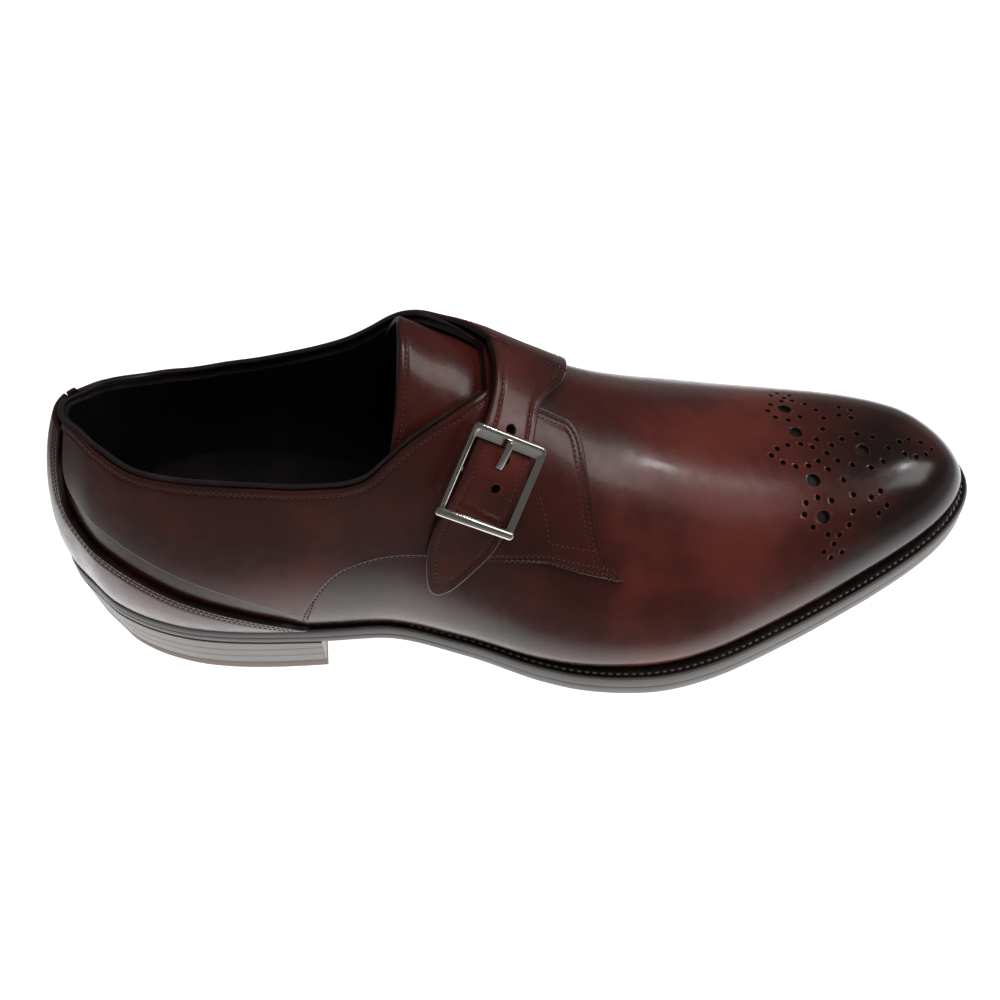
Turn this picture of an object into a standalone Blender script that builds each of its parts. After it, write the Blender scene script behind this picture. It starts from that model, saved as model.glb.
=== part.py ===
"""A plain-toe monk strap shoe, right foot, men's size 42, as separate leather and metal pieces.

+X points to the toe, -Y to the lateral (outer) side, +Z up. The origin is on the ground
under the middle of the heel.
"""

import bpy
import bmesh
import numpy as np
from collections import namedtuple
from math import pi
from mathutils import Matrix, Vector
from mathutils.kdtree import KDTree

# Driving sizes, in metres
LENGTH = 0.2925
BALL_WIDTH = 0.105
HEEL_HEIGHT = 0.0205
HEEL_LENGTH = 0.078
TOE_SPRING = 0.009
SOLE_EDGE = 0.0095
INSTEP_HEIGHT = 0.122
FULLNESS = 0.0065
WELT_LEDGE = 0.006
WELT_REACH = 0.007
WALL = 0.002
QUARTER_THICK = 0.0012
COUNTER_THICK = 0.0016
STRAP_THICK = 0.0022
TONGUE_THICK = 0.0018
INSOLE_THICK = 0.003
BINDING_RADIUS = 0.0012
TOP_PIECE_THICK = 0.0045
HEEL_TAPER = 0.0022
CORNER_CUT = 0.014
LIFTS = 3
BUCKLE_ACROSS = 0.0255
BUCKLE_ALONG = 0.0290
BUCKLE_BAR = 0.0026
BUCKLE_SIDE = 0.0020
BUCKLE_DEPTH = 0.0022
CENTRE_BAR_RADIUS = 0.0009
PRONG_RADIUS = 0.0008
PRONG_LENGTH = 0.0085
GAP = 0.0003

# Where the last's ridge ends at the heel and at the toe, as shares of the length
HEEL_POLE = 0.135
TOE_POLE = 0.876
POLE_SOFTNESS = 0.05

# How far up the wall it bulges most, as a share of its rise
SWELL_RISE = 0.22

# How finely the forms are faceted
SIDE_STATIONS = 36
UPPER_STATIONS = 29
WALL_ROWS = 10
QUARTER_STATIONS = 22
QUARTER_ROWS = 10
MEDIAL_ROWS = 14
COUNTER_STATIONS = 17
COUNTER_ROWS = 8
TONGUE_ROWS = 9
TONGUE_COLUMNS = 7
STRAP_COLUMNS = 5
STRAP_ROWS = 17
HEEL_STATIONS = 14
SAME_PLACE = 6e-5

# Smaller sizes and clearances that follow the construction
WELT_SHARE = 0.45
EDGE_ROUND = 0.0006
FLAT_START = 0.627
FLAT_END = 0.730
CORNER_START = 0.211
SEAM_CLEAR = 0.007
SEAM_CLEAR_ALONG = 0.0014
BACK_SEAM = 0.0118
EVEN_END = 0.44
CORNER_END = 0.03
QUARTER_EXTRA = (0.0145, 0.019, 0.0225, 0.282)
BODY_BACK = 0.015
THROAT_RUN = 0.012
INSOLE_CLEARANCE = 0.0012
LINING_GAP = 0.0009
LAP_GAP = 0.0005
BINDING_END = 0.425
BINDING_LEVEL = 0.0002
BINDING_GAP = 0.0005
RISE_START = 0.70
RISE_BACK = 0.385
FRAME_LOW = 0.0048
FRAME_CORNER = 0.0018
FRAME_BEVEL = 0.0004
BAR_LEVEL = 0.0030
PRONG_FOOT = 0.0074

# The sole's outline: half widths as shares of the ball width, at shares of the length
Outline = namedtuple("Outline", "at lateral medial")
OUTLINE = (
    Outline(0.030, 0.155, 0.150),
    Outline(0.058, 0.236, 0.228),
    Outline(0.099, 0.302, 0.289),
    Outline(0.139, 0.340, 0.319),
    Outline(0.178, 0.360, 0.322),
    Outline(0.227, 0.373, 0.304),
    Outline(0.272, 0.378, 0.276),
    Outline(0.326, 0.374, 0.250),
    Outline(0.429, 0.447, 0.265),
    Outline(0.533, 0.548, 0.390),
    Outline(0.637, 0.562, 0.474),
    Outline(0.720, 0.490, 0.455),
    Outline(0.803, 0.405, 0.412),
    Outline(0.886, 0.308, 0.345),
    Outline(0.948, 0.212, 0.262),
)

# The sole seen from the side: its underside as shares of the heel height and the toe spring,
# its edge as a share of SOLE_EDGE, and the ledge that shows as a share of WELT_LEDGE
Side = namedtuple("Side", "at heel_rise toe_rise edge ledge")
SIDE = (
    Side(0.000, 1.00, 0.00, 0.70, 0.50),
    Side(0.091, 0.97, 0.00, 0.70, 0.42),
    Side(0.228, 0.92, 0.00, 0.70, 0.36),
    Side(0.326, 0.78, 0.00, 0.71, 0.36),
    Side(0.429, 0.50, 0.00, 0.80, 0.48),
    Side(0.533, 0.14, 0.00, 0.94, 0.75),
    Side(0.627, 0.00, 0.00, 1.00, 0.90),
    Side(0.730, 0.00, 0.00, 1.00, 0.98),
    Side(0.844, 0.00, 0.34, 1.00, 1.00),
    Side(0.927, 0.00, 0.70, 1.00, 0.98),
    Side(1.000, 0.00, 1.00, 1.00, 0.90),
)

# The last: the ridge's height as a share of INSTEP_HEIGHT and its shift to the medial side
# as a share of BALL_WIDTH, then how round the top and how steep the wall is on each side
# (powers), and how far the wall bulges past its foot as a share of FULLNESS
Last = namedtuple("Last", "at ridge shift top_lateral wall_lateral top_medial wall_medial "
                          "bulge_lateral bulge_medial")
LAST = (
    Last(0.000, 0.950, 0.00, 2.0, 2.1, 2.0, 2.1, 0.20, 0.20),
    Last(0.091, 0.950, 0.00, 2.0, 2.1, 2.0, 2.0, 0.35, 0.35),
    Last(0.182, 0.970, -0.01, 1.9, 2.1, 1.8, 2.0, 0.45, 0.45),
    Last(0.274, 0.990, 0.00, 2.0, 2.0, 1.9, 2.0, 0.50, 0.65),
    Last(0.357, 0.975, 0.03, 2.1, 1.85, 2.1, 2.0, 0.60, 0.85),
    Last(0.429, 0.860, 0.045, 2.0, 1.7, 2.0, 1.8, 0.70, 0.90),
    Last(0.502, 0.715, 0.05, 2.0, 1.65, 2.0, 1.75, 0.75, 0.80),
    Last(0.585, 0.565, 0.04, 2.0, 1.75, 2.0, 1.75, 0.65, 0.65),
    Last(0.689, 0.445, 0.01, 2.1, 2.05, 2.05, 2.05, 0.60, 0.55),
    Last(0.793, 0.368, -0.01, 2.3, 2.5, 2.3, 2.5, 0.50, 0.50),
    Last(0.876, 0.340, -0.010, 2.4, 2.8, 2.4, 2.8, 0.42, 0.42),
    Last(1.000, 0.300, -0.010, 2.4, 3.0, 2.4, 3.0, 0.40, 0.40),
)

# The collar's edge, as shares of the way up from the sole to the ridge
Collar = namedtuple("Collar", "at lateral medial")
COLLAR = (
    Collar(0.000, 0.535, 0.535),
    Collar(0.022, 0.548, 0.490),
    Collar(0.045, 0.540, 0.445),
    Collar(0.069, 0.522, 0.405),
    Collar(0.109, 0.486, 0.352),
    Collar(0.152, 0.468, 0.328),
    Collar(0.220, 0.448, 0.350),
    Collar(0.274, 0.438, 0.402),
    Collar(0.307, 0.440, 0.448),
    Collar(0.330, 0.455, 0.485),
    Collar(0.354, 0.510, 0.545),
    Collar(0.381, 0.592, 0.665),
    Collar(0.403, 0.660, 0.780),
    Collar(0.420, 0.712, 0.845),
    Collar(0.440, 0.780, 0.935),
    Collar(0.455, 0.835, 1.000),
)
THROAT = 0.455

# The counter's upper edge and the quarters' lower edges, the same way
Counter = namedtuple("Counter", "at share")
COUNTER = (
    Counter(0.000, 0.515),
    Counter(0.0115, 0.510),
    Counter(0.0165, 0.370),
    Counter(0.0205, 0.275),
    Counter(0.030, 0.228),
    Counter(0.045, 0.206),
    Counter(0.082, 0.176),
    Counter(0.138, 0.122),
    Counter(0.193, 0.074),
    Counter(0.235, 0.036),
    Counter(0.256, 0.004),
)
COUNTER_END = 0.256

Hem = namedtuple("Hem", "at lateral medial")
HEM = (
    Hem(0.256, 0.000, 0.000),
    Hem(0.274, 0.105, 0.085),
    Hem(0.302, 0.180, 0.135),
    Hem(0.327, 0.212, 0.155),
    Hem(0.372, 0.262, 0.180),
    Hem(0.436, 0.338, 0.215),
    Hem(0.511, 0.410, 0.262),
    Hem(0.585, 0.412, 0.272),
)

# The quarters' front edges, from the instep down to the low point of each
Front = namedtuple("Front", "at share")
FRONT_LATERAL = (
    Front(0.455, 0.835),
    Front(0.480, 0.845),
    Front(0.510, 0.852),
    Front(0.530, 0.852),
    Front(0.540, 0.828),
    Front(0.5445, 0.780),
    Front(0.5465, 0.700),
    Front(0.548, 0.620),
    Front(0.5505, 0.550),
    Front(0.555, 0.495),
    Front(0.564, 0.453),
    Front(0.579, 0.413),
)
FRONT_MEDIAL = (
    Front(0.531, 1.000),
    Front(0.538, 0.800),
    Front(0.543, 0.620),
    Front(0.550, 0.450),
    Front(0.562, 0.335),
    Front(0.585, 0.274),
)
STRAP_FRONT = 0.531

# The strap from the ridge to its tip: both edges, where they lie along and up the side,
# and how high the strap's underside is above the upper, as a share of its own thickness
Strap = namedtuple("Strap", "run back_at back_share front_at front_share lift")
STRAP = (
    Strap(0.00, 0.455, 1.000, 0.531, 1.000, 0.95),
    Strap(0.10, 0.458, 0.920, 0.524, 0.950, 1.00),
    Strap(0.20, 0.456, 0.855, 0.511, 0.895, 1.00),
    Strap(0.30, 0.450, 0.775, 0.499, 0.840, 1.00),
    Strap(0.42, 0.438, 0.685, 0.488, 0.740, 1.40),
    Strap(0.55, 0.421, 0.575, 0.477, 0.615, 1.90),
    Strap(0.67, 0.406, 0.475, 0.462, 0.490, 1.30),
    Strap(0.78, 0.391, 0.380, 0.449, 0.405, 0.95),
    Strap(0.88, 0.385, 0.300, 0.434, 0.345, 0.90),
    Strap(0.95, 0.385, 0.250, 0.417, 0.285, 0.90),
    Strap(1.00, 0.390, 0.215, 0.399, 0.228, 0.90),
)
BUCKLE_RUN = 0.55

# The tongue: its top edge's place at the ridge and at its sides, and how far down it reaches
TONGUE_TOP = 0.385
TONGUE_CORNER = 0.352
TONGUE_FOOT = 0.515
TONGUE_SIDE = 0.45


def column(table, name, at):
    """A smooth curve through one column of a table, with no overshoot between its rows."""
    xs = np.array([row.at if hasattr(row, "at") else row.run for row in table])
    ys = np.array([getattr(row, name) for row in table], dtype=float)
    steps = np.diff(xs)
    slopes = np.diff(ys) / steps
    tangents = np.zeros(len(xs))
    for i in range(1, len(xs) - 1):
        if slopes[i - 1] * slopes[i] > 0:
            before = 2 * steps[i] + steps[i - 1]
            after = steps[i] + 2 * steps[i - 1]
            tangents[i] = (before + after) / (before / slopes[i - 1] + after / slopes[i])
    tangents[0] = slopes[0]
    tangents[-1] = slopes[-1]
    at = np.clip(np.asarray(at, dtype=float), xs[0], xs[-1])
    k = np.clip(np.searchsorted(xs, at) - 1, 0, len(xs) - 2)
    t = (at - xs[k]) / steps[k]
    return ((1 + 2 * t) * (1 - t) ** 2 * ys[k] + t * (1 - t) ** 2 * steps[k] * tangents[k]
            + t * t * (3 - 2 * t) * ys[k + 1] + t * t * (t - 1) * steps[k] * tangents[k + 1])


def station(at):
    """The turn along one side of the outline, 0 at the heel to 1 at the toe, for a place."""
    return np.arccos(1 - 2 * np.asarray(at, dtype=float)) / pi


def place(turn):
    """The place along the shoe, as a share of its length, for a turn along one side."""
    return (1 - np.cos(pi * np.asarray(turn, dtype=float))) / 2


def half_width(side, at):
    """The sole's half width on one side (-1 lateral, 1 medial), round at heel and toe."""
    name = "lateral" if side < 0 else "medial"
    rows = [(0.0, 0.0)]
    rows += [(row.at, getattr(row, name) ** 2) for row in OUTLINE]
    rows += [(1.0, 0.0)]
    table = [Front(*row) for row in rows]
    return BALL_WIDTH * np.sqrt(np.maximum(column(table, "share", at), 0))


def outline(side, turn, inset=0.0):
    """Points of the sole's outline on one side, moved inward by inset."""
    turn = np.asarray(turn, dtype=float)
    step = 1e-3

    def raw(t):
        mirrored = np.where((t < 0) | (t > 1), -1, 1)
        t = np.where(t < 0, -t, np.where(t > 1, 2 - t, t))
        at = place(t)
        width = np.where(mirrored > 0, half_width(side, at), -half_width(-side, at))
        return np.stack([at * LENGTH, side * width], axis=-1)

    run = raw(turn + step) - raw(turn - step)
    outward = np.stack([-side * run[..., 1], side * run[..., 0]], axis=-1)
    outward = outward / np.linalg.norm(outward, axis=-1, keepdims=True)
    return raw(turn) - outward * np.asarray(inset)[..., None], outward


def sole_under(at):
    """The height of the sole's underside above the ground."""
    return HEEL_HEIGHT * column(SIDE, "heel_rise", at) + TOE_SPRING * column(SIDE, "toe_rise", at)


def sole_edge(at):
    """The thickness of outsole and welt together."""
    return SOLE_EDGE * column(SIDE, "edge", at)


def sole_top(at):
    return sole_under(at) + sole_edge(at)


def ledge(at):
    """How wide the welt shows outside the upper."""
    return WELT_LEDGE * column(SIDE, "ledge", at)


def ridge_place(at):
    """Where the profile that starts at this place meets the ridge."""
    def soft_step(x):
        return POLE_SOFTNESS * np.logaddexp(0, x / POLE_SOFTNESS)
    return HEEL_POLE + soft_step(at - HEEL_POLE) - soft_step(at - TOE_POLE)


def ridge_height(at):
    return INSTEP_HEIGHT * column(LAST, "ridge", at)


def bare_last(side, turn, share):
    """A point of the upper's outer face: share runs from 0 at the sole to 1 at the ridge."""
    turn = np.asarray(turn, dtype=float)
    share = np.asarray(share, dtype=float)
    turn, share = np.broadcast_arrays(turn, share)
    at = place(turn)
    foot, outward = outline(side, turn, ledge(at))
    name = "lateral" if side < 0 else "medial"
    top_power = column(LAST, "top_" + name, at)
    wall_power = column(LAST, "wall_" + name, at)
    bulge = FULLNESS * column(LAST, "bulge_" + name, at)
    ridge_at = ridge_place(at)
    ridge = np.stack([ridge_at * LENGTH, BALL_WIDTH * column(LAST, "shift", ridge_at)], axis=-1)
    foot_z = sole_top(foot[..., 0] / LENGTH) + GAP
    ridge_z = ridge_height(ridge_at)
    slope = (ridge_height(ridge_at + 0.01) - ridge_height(ridge_at - 0.01)) / (0.02 * LENGTH)
    lean = slope * (ridge[..., 0] - foot[..., 0])
    angle = share * pi / 2
    rise = np.maximum(np.sin(angle), 0) ** (2 / wall_power)
    run = 1 - np.maximum(np.cos(angle), 0) ** (2 / top_power)
    swell = rise / SWELL_RISE * np.exp(1 - rise / SWELL_RISE) * np.sqrt(np.maximum(1 - rise, 0))
    xy = foot + (ridge - foot) * run[..., None] + outward * (bulge * swell)[..., None]
    z = foot_z + (ridge_z - foot_z - lean) * rise + lean * run
    return np.concatenate([xy, z[..., None]], axis=-1)


def leather(side, turn, share, level=0.0):
    """A point at a level above the upper's outer face, negative inside it."""
    step = 2e-3
    turn, share, level = np.broadcast_arrays(*(np.asarray(v, dtype=float)
                                               for v in (turn, share, level)))
    near = np.clip(turn, step, 1 - step)
    inner = np.clip(share, step, 1 - step)
    along = bare_last(side, near + step, inner) - bare_last(side, near - step, inner)
    up = bare_last(side, near, inner + step) - bare_last(side, near, inner - step)
    normal = np.cross(along, up) * -side
    ends = ((turn <= 0) | (turn >= 1))[..., None]
    normal = np.where(ends, normal * np.array([1.0, 0.0, 1.0]), normal)
    ridge_at = ridge_place(place(turn))
    slope = (ridge_height(ridge_at + step) - ridge_height(ridge_at - step)) / (2 * step * LENGTH)
    crest = np.stack([-slope, np.zeros_like(slope), np.ones_like(slope)], axis=-1)
    normal = np.where((share >= 1)[..., None], crest, normal)
    normal = normal / np.linalg.norm(normal, axis=-1, keepdims=True)
    points = bare_last(side, turn, share) + normal * level[..., None]
    ground = sole_top(np.clip(points[..., 0] / LENGTH, 0, 1)) + GAP
    points[..., 2] = np.maximum(points[..., 2], ground)
    return points


def to_frame(points):
    """The origin is moved under the middle of the heel."""
    return np.asarray(points, dtype=float) - np.array([HEEL_LENGTH / 2, 0.0, 0.0])


def finish(name, colour, roughness, metallic=0.0):
    material = bpy.data.materials.new(name)
    material.use_nodes = True
    shader = material.node_tree.nodes["Principled BSDF"]
    shader.inputs["Base Color"].default_value = (*colour, 1.0)
    shader.inputs["Roughness"].default_value = roughness
    shader.inputs["Metallic"].default_value = metallic
    material.diffuse_color = (*colour, 1.0)
    return material


def add_mesh(name, vertices, faces, material, collection):
    """A mesh object with its faces pointing out."""
    mesh = bpy.data.meshes.new(name)
    work = bmesh.new()
    corners = [work.verts.new(v) for v in vertices]
    for face in faces:
        loop = list(dict.fromkeys(corners[i] for i in face))
        if len(loop) > 2:
            work.faces.new(loop)
    bmesh.ops.delete(work, geom=[v for v in work.verts if not v.link_faces], context="VERTS")
    bmesh.ops.triangulate(work, faces=work.faces)
    bmesh.ops.recalc_face_normals(work, faces=work.faces)
    work.to_mesh(mesh)
    work.free()
    mesh.materials.append(material)
    mesh.shade_smooth()
    mesh.set_sharp_from_angle(angle=pi / 5)
    thing = bpy.data.objects.new(name, mesh)
    collection.objects.link(thing)
    return thing


def join_map(points):
    """For each point the index of the first point that lies in the same place."""
    tree = KDTree(len(points))
    for i, point in enumerate(points):
        tree.insert(point, i)
    tree.balance()
    first = []
    for point in points:
        first.append(min(i for _, i, _ in tree.find_range(point, SAME_PLACE)))
    return first


def wall(name, sheets, material, collection):
    """A closed wall. Each sheet is a grid of outer points with its grid of inner points;
    sheets whose outer points meet are one wall, and its rims are closed."""
    outer = np.concatenate([to_frame(o).reshape(-1, 3) for o, _ in sheets])
    inner = np.concatenate([to_frame(i).reshape(-1, 3) for _, i in sheets])
    first = join_map(outer)
    faces = []
    start = 0
    for grid, _ in sheets:
        rows, columns = grid.shape[:2]
        for i in range(rows - 1):
            for j in range(columns - 1):
                a = start + i * columns + j
                quad = [first[k] for k in (a, a + 1, a + columns + 1, a + columns)]
                loop = list(dict.fromkeys(quad))
                if len(loop) > 2:
                    faces.append(loop)
        start += rows * columns
    used = {}
    for loop in faces:
        for a, b in zip(loop, loop[1:] + loop[:1]):
            key = (min(a, b), max(a, b))
            used[key] = used.get(key, 0) + 1
    twin = len(outer)
    closed = list(faces)
    closed += [[i + twin for i in reversed(loop)] for loop in faces]
    closed += [[a, b, b + twin, a + twin] for (a, b), count in used.items() if count == 1]
    vertices = np.concatenate([outer, inner])
    return add_mesh(name, vertices, closed, material, collection)


def plate(name, ats, rings, material, collection, medial_limit=None):
    """A solid whose sections across the shoe are flat. Each ring is (inset, height) as
    functions of the place, from the bottom to the top; its front face is flat if it ends early."""
    turns = station(ats)
    vertices = []
    for inset, height in rings:
        for side in (-1, 1):
            points, _ = outline(side, turns, inset(ats) * np.ones_like(ats))
            across = points[:, 1]
            if side > 0 and medial_limit is not None:
                across = np.minimum(across, medial_limit(points[:, 0]))
            if side > 0:
                across = np.maximum(across, 0)
            heights = height(np.clip(points[:, 0] / LENGTH, 0, 1)) * np.ones_like(across)
            vertices += list(to_frame(np.stack([points[:, 0], across, heights], axis=-1)))
    count = len(ats)
    first = join_map(vertices)
    faces = []
    for ring in range(len(rings)):
        lateral = ring * 2 * count
        medial = lateral + count
        for i in range(count - 1):
            if ring in (0, len(rings) - 1):
                faces.append((lateral + i, lateral + i + 1, medial + i + 1, medial + i))
            if ring < len(rings) - 1:
                for base in (lateral, medial):
                    above = base + 2 * count
                    faces.append((base + i, base + i + 1, above + i + 1, above + i))
        if ring < len(rings) - 1:
            end = count - 1
            above = 2 * count
            faces.append((lateral + end, medial + end, medial + end + above, lateral + end + above))
            faces.append((lateral, medial, medial + above, lateral + above))
    loops = []
    for face in faces:
        loop = list(dict.fromkeys(first[i] for i in face))
        if len(loop) > 2:
            loops.append(loop)
    return add_mesh(name, vertices, loops, material, collection)


def even(start, end, count):
    """Places from start to end, evenly turned, so that they crowd at the heel and the toe."""
    return place(np.linspace(station(start), station(end), count))


def add_outsole(collection, material):
    ats = np.unique(np.concatenate([even(0, 1, SIDE_STATIONS), [FLAT_START, FLAT_END]]))

    def upper_face(at):
        return sole_top(at) - WELT_SHARE * sole_edge(at) - GAP

    def edge_low(at):
        return sole_under(at) + EDGE_ROUND

    rings = (
        (lambda at: EDGE_ROUND, sole_under),
        (lambda at: 0.0, edge_low),
        (lambda at: 0.0, upper_face),
    )
    return plate("outsole", ats, rings, material, collection)


def add_welt(collection, material):
    """The ledge is a flat ring that reaches in under the upper and the insole."""
    turns = np.linspace(0, 1, SIDE_STATIONS)
    at = place(turns)
    grids = []
    for side in (-1, 1):
        rows = []
        for inset in (0.0, ledge(at) + WELT_REACH):
            points, _ = outline(side, turns, inset * np.ones_like(turns))
            if side > 0:
                points[:, 1] = np.maximum(points[:, 1], 0)
            rows.append(points)
        flat = np.stack(rows)
        places = np.clip(flat[..., 0] / LENGTH, 0, 1)
        top = np.concatenate([flat, sole_top(places)[..., None]], axis=-1)
        low = np.concatenate([flat, (sole_top(places) - WELT_SHARE * sole_edge(places))[..., None]],
                             axis=-1)
        grids.append((top, low))
    return wall("welt", grids, material, collection)


def add_heel(collection, materials):
    """Lifts parallel to the ground, the top one a wedge under the seat, and the top piece."""
    ats = np.concatenate([even(0, CORNER_START, HEEL_STATIONS),
                          [HEEL_LENGTH / LENGTH]])
    seat = HEEL_HEIGHT

    def medial_limit(x):
        cut = (x - CORNER_START * LENGTH) / (HEEL_LENGTH - CORNER_START * LENGTH)
        reach = half_width(1, CORNER_START) - HEEL_TAPER
        return np.where(cut > 0, reach - CORNER_CUT * cut, BALL_WIDTH)

    def taper(height):
        return HEEL_TAPER * (1 - height / seat)

    def under_seat(at):
        return sole_under(at) - GAP

    def layer(name, low, high, material):
        top = under_seat if high is None else (lambda at: high)
        top_inset = 0.0 if high is None else taper(high)
        rings = ((lambda at: taper(low), lambda at: low), (lambda at: top_inset, top))
        return plate(name, ats, rings, material, collection, medial_limit)

    layer("heel_top_piece", 0.0, TOP_PIECE_THICK, materials["heel_top"])
    lowest = HEEL_HEIGHT * SIDE[2].heel_rise
    lift = (lowest - TOP_PIECE_THICK) / LIFTS
    for i in range(LIFTS):
        low = TOP_PIECE_THICK + i * lift + GAP
        high = None if i == LIFTS - 1 else TOP_PIECE_THICK + (i + 1) * lift
        layer("heel_lift_%d" % (i + 1), low, high, materials["heel"])


def add_insole(collection, material):
    ats = even(0, 1, SIDE_STATIONS)

    def inset(at):
        return ledge(at) + WALL + INSOLE_CLEARANCE

    rings = (
        (inset, lambda at: sole_top(at) + GAP),
        (inset, lambda at: sole_top(at) + GAP + INSOLE_THICK),
    )
    return plate("insole", ats, rings, material, collection)


def collar_share(side, at):
    name = "lateral" if side < 0 else "medial"
    return column(COLLAR, name, at)


def add_upper(collection, material):
    """Vamp and body with lining: one wall, open at the collar and underneath."""
    ats = np.unique(np.concatenate([even(0, 1, UPPER_STATIONS),
                                    [row.at for row in COLLAR if row.at > 0.3],
                                    [THROAT + THROAT_RUN]]))
    sheets = []
    for side in (-1, 1):
        top = np.where(ats <= THROAT, collar_share(side, ats) - BODY_BACK, 1.0)
        rows = np.linspace(0, 1, WALL_ROWS + 1)[:, None] * top[None, :]
        turns = station(ats)[None, :]
        sheets.append((leather(side, turns, rows), leather(side, turns, rows, -WALL)))
    return wall("upper", sheets, material, collection)


def low_edge(side, at):
    """The quarters' lower edge: just above the counter, then the hem that rises from the sole."""
    name = "lateral" if side < 0 else "medial"
    beside = column(COUNTER, "share", at - SEAM_CLEAR_ALONG) + SEAM_CLEAR
    return np.where(at < COUNTER_END, beside,
                    np.maximum(column(HEM, name, at), SEAM_CLEAR))


def quarter_ats(front):
    return np.unique(np.concatenate([even(BACK_SEAM, EVEN_END, QUARTER_STATIONS),
                                     [row.at for row in front], QUARTER_EXTRA, [COUNTER_END, THROAT]]))


def add_quarter_lateral(collection, material):
    ats = quarter_ats(FRONT_LATERAL)
    high = np.where(ats < THROAT, collar_share(-1, ats), column(FRONT_LATERAL, "share", ats))
    low = np.minimum(low_edge(-1, ats), high)
    rows = np.linspace(0, 1, QUARTER_ROWS + 1)[:, None]
    shares = low[None, :] + (high - low)[None, :] * rows
    turns = station(ats)[None, :]
    sheet = (leather(-1, turns, shares, LAP_GAP + QUARTER_THICK),
             leather(-1, turns, shares, LAP_GAP))
    return wall("quarter_lateral", [sheet], material, collection)


def add_quarter_medial_strap(collection, material):
    """The medial quarter runs on over the ridge as the strap."""
    across = np.linspace(THROAT, STRAP_FRONT, STRAP_COLUMNS)
    ats = quarter_ats(FRONT_MEDIAL)
    ats = np.unique(np.concatenate([ats[(ats < THROAT - 1e-6) | (ats > STRAP_FRONT + 1e-6)], across]))
    high = np.where(ats < THROAT, collar_share(1, ats), column(FRONT_MEDIAL, "share", ats))
    low = np.minimum(low_edge(1, ats), high)
    rows = np.linspace(0, 1, MEDIAL_ROWS + 1)[:, None]
    shares = low[None, :] + (high - low)[None, :] * rows
    turns = station(ats)[None, :]
    rise = np.clip((shares - RISE_START) / (1 - RISE_START), 0, 1)
    rise = rise * rise * (3 - 2 * rise)
    rise = rise * np.clip((ats - RISE_BACK) / (THROAT - RISE_BACK), 0, 1)[None, :]
    floor = LAP_GAP + (STRAP[0].lift * STRAP_THICK - LAP_GAP) * rise
    thick = QUARTER_THICK + (STRAP_THICK - QUARTER_THICK) * rise
    quarter = (leather(1, turns, shares, floor + thick), leather(1, turns, shares, floor))
    runs = np.linspace(0, 1, STRAP_ROWS)
    part = np.linspace(0, 1, STRAP_COLUMNS)[None, :]

    def edge(which, what):
        return column(STRAP, which + "_" + what, runs)[:, None]

    strap_at = edge("back", "at") + (edge("front", "at") - edge("back", "at")) * part
    strap_share = edge("back", "share") + (edge("front", "share") - edge("back", "share")) * part
    lift = column(STRAP, "lift", runs)[:, None] * STRAP_THICK
    turns = station(strap_at)
    strap = (leather(-1, turns, strap_share, lift + STRAP_THICK),
             leather(-1, turns, strap_share, lift))
    return wall("quarter_medial_strap", [quarter, strap], material, collection)


def add_counter(collection, material):
    ats = np.unique(np.concatenate([even(0, COUNTER_END, COUNTER_STATIONS),
                                    [row.at for row in COUNTER if 0 < row.at < CORNER_END]]))
    sheets = []
    for side in (-1, 1):
        rows = np.linspace(0, 1, COUNTER_ROWS + 1)[:, None] * column(COUNTER, "share", ats)[None, :]
        turns = station(ats)[None, :]
        sheets.append((leather(side, turns, rows, LAP_GAP + COUNTER_THICK),
                       leather(side, turns, rows, LAP_GAP)))
    return wall("counter", sheets, material, collection)


def add_tongue(collection, material):
    shares = np.linspace(TONGUE_SIDE, 1, TONGUE_ROWS)[:, None]
    swing = np.sin((shares - TONGUE_SIDE) / (1 - TONGUE_SIDE) * pi / 2)
    top = TONGUE_CORNER + (TONGUE_TOP - TONGUE_CORNER) * swing
    ats = top + (TONGUE_FOOT - top) * np.linspace(0, 1, TONGUE_COLUMNS)[None, :]
    level = -(WALL + LINING_GAP)
    sheets = []
    for side in (-1, 1):
        grid = station(ats)
        sheets.append((leather(side, grid, shares, level),
                       leather(side, grid, shares, level - TONGUE_THICK)))
    return wall("tongue", sheets, material, collection)


def add_collar_binding(collection, material):
    """A thin rolled edge above the collar's rim, from one side of the throat to the other."""
    ats = quarter_ats(FRONT_LATERAL)
    ats = np.concatenate([[0.0], ats[ats < BINDING_END]])
    level = BINDING_LEVEL
    sides = []
    for side in (-1, 1):
        points = leather(side, station(ats), collar_share(side, ats), level)
        above = leather(side, station(ats), collar_share(side, ats) + 0.01, level)
        up = above - points
        up = up / np.linalg.norm(up, axis=-1, keepdims=True)
        sides.append(to_frame(points + up * (BINDING_RADIUS + BINDING_GAP)))
    route = np.concatenate([sides[0][::-1], sides[1][1:]])
    curve = bpy.data.curves.new("collar_binding", "CURVE")
    curve.dimensions = "3D"
    curve.bevel_depth = BINDING_RADIUS
    curve.bevel_resolution = 1
    curve.use_fill_caps = True
    spline = curve.splines.new("POLY")
    spline.points.add(len(route) - 1)
    for point, place_on in zip(spline.points, route):
        point.co = (*place_on, 1.0)
    curve.materials.append(material)
    thing = bpy.data.objects.new("collar_binding", curve)
    collection.objects.link(thing)
    return thing


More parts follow.
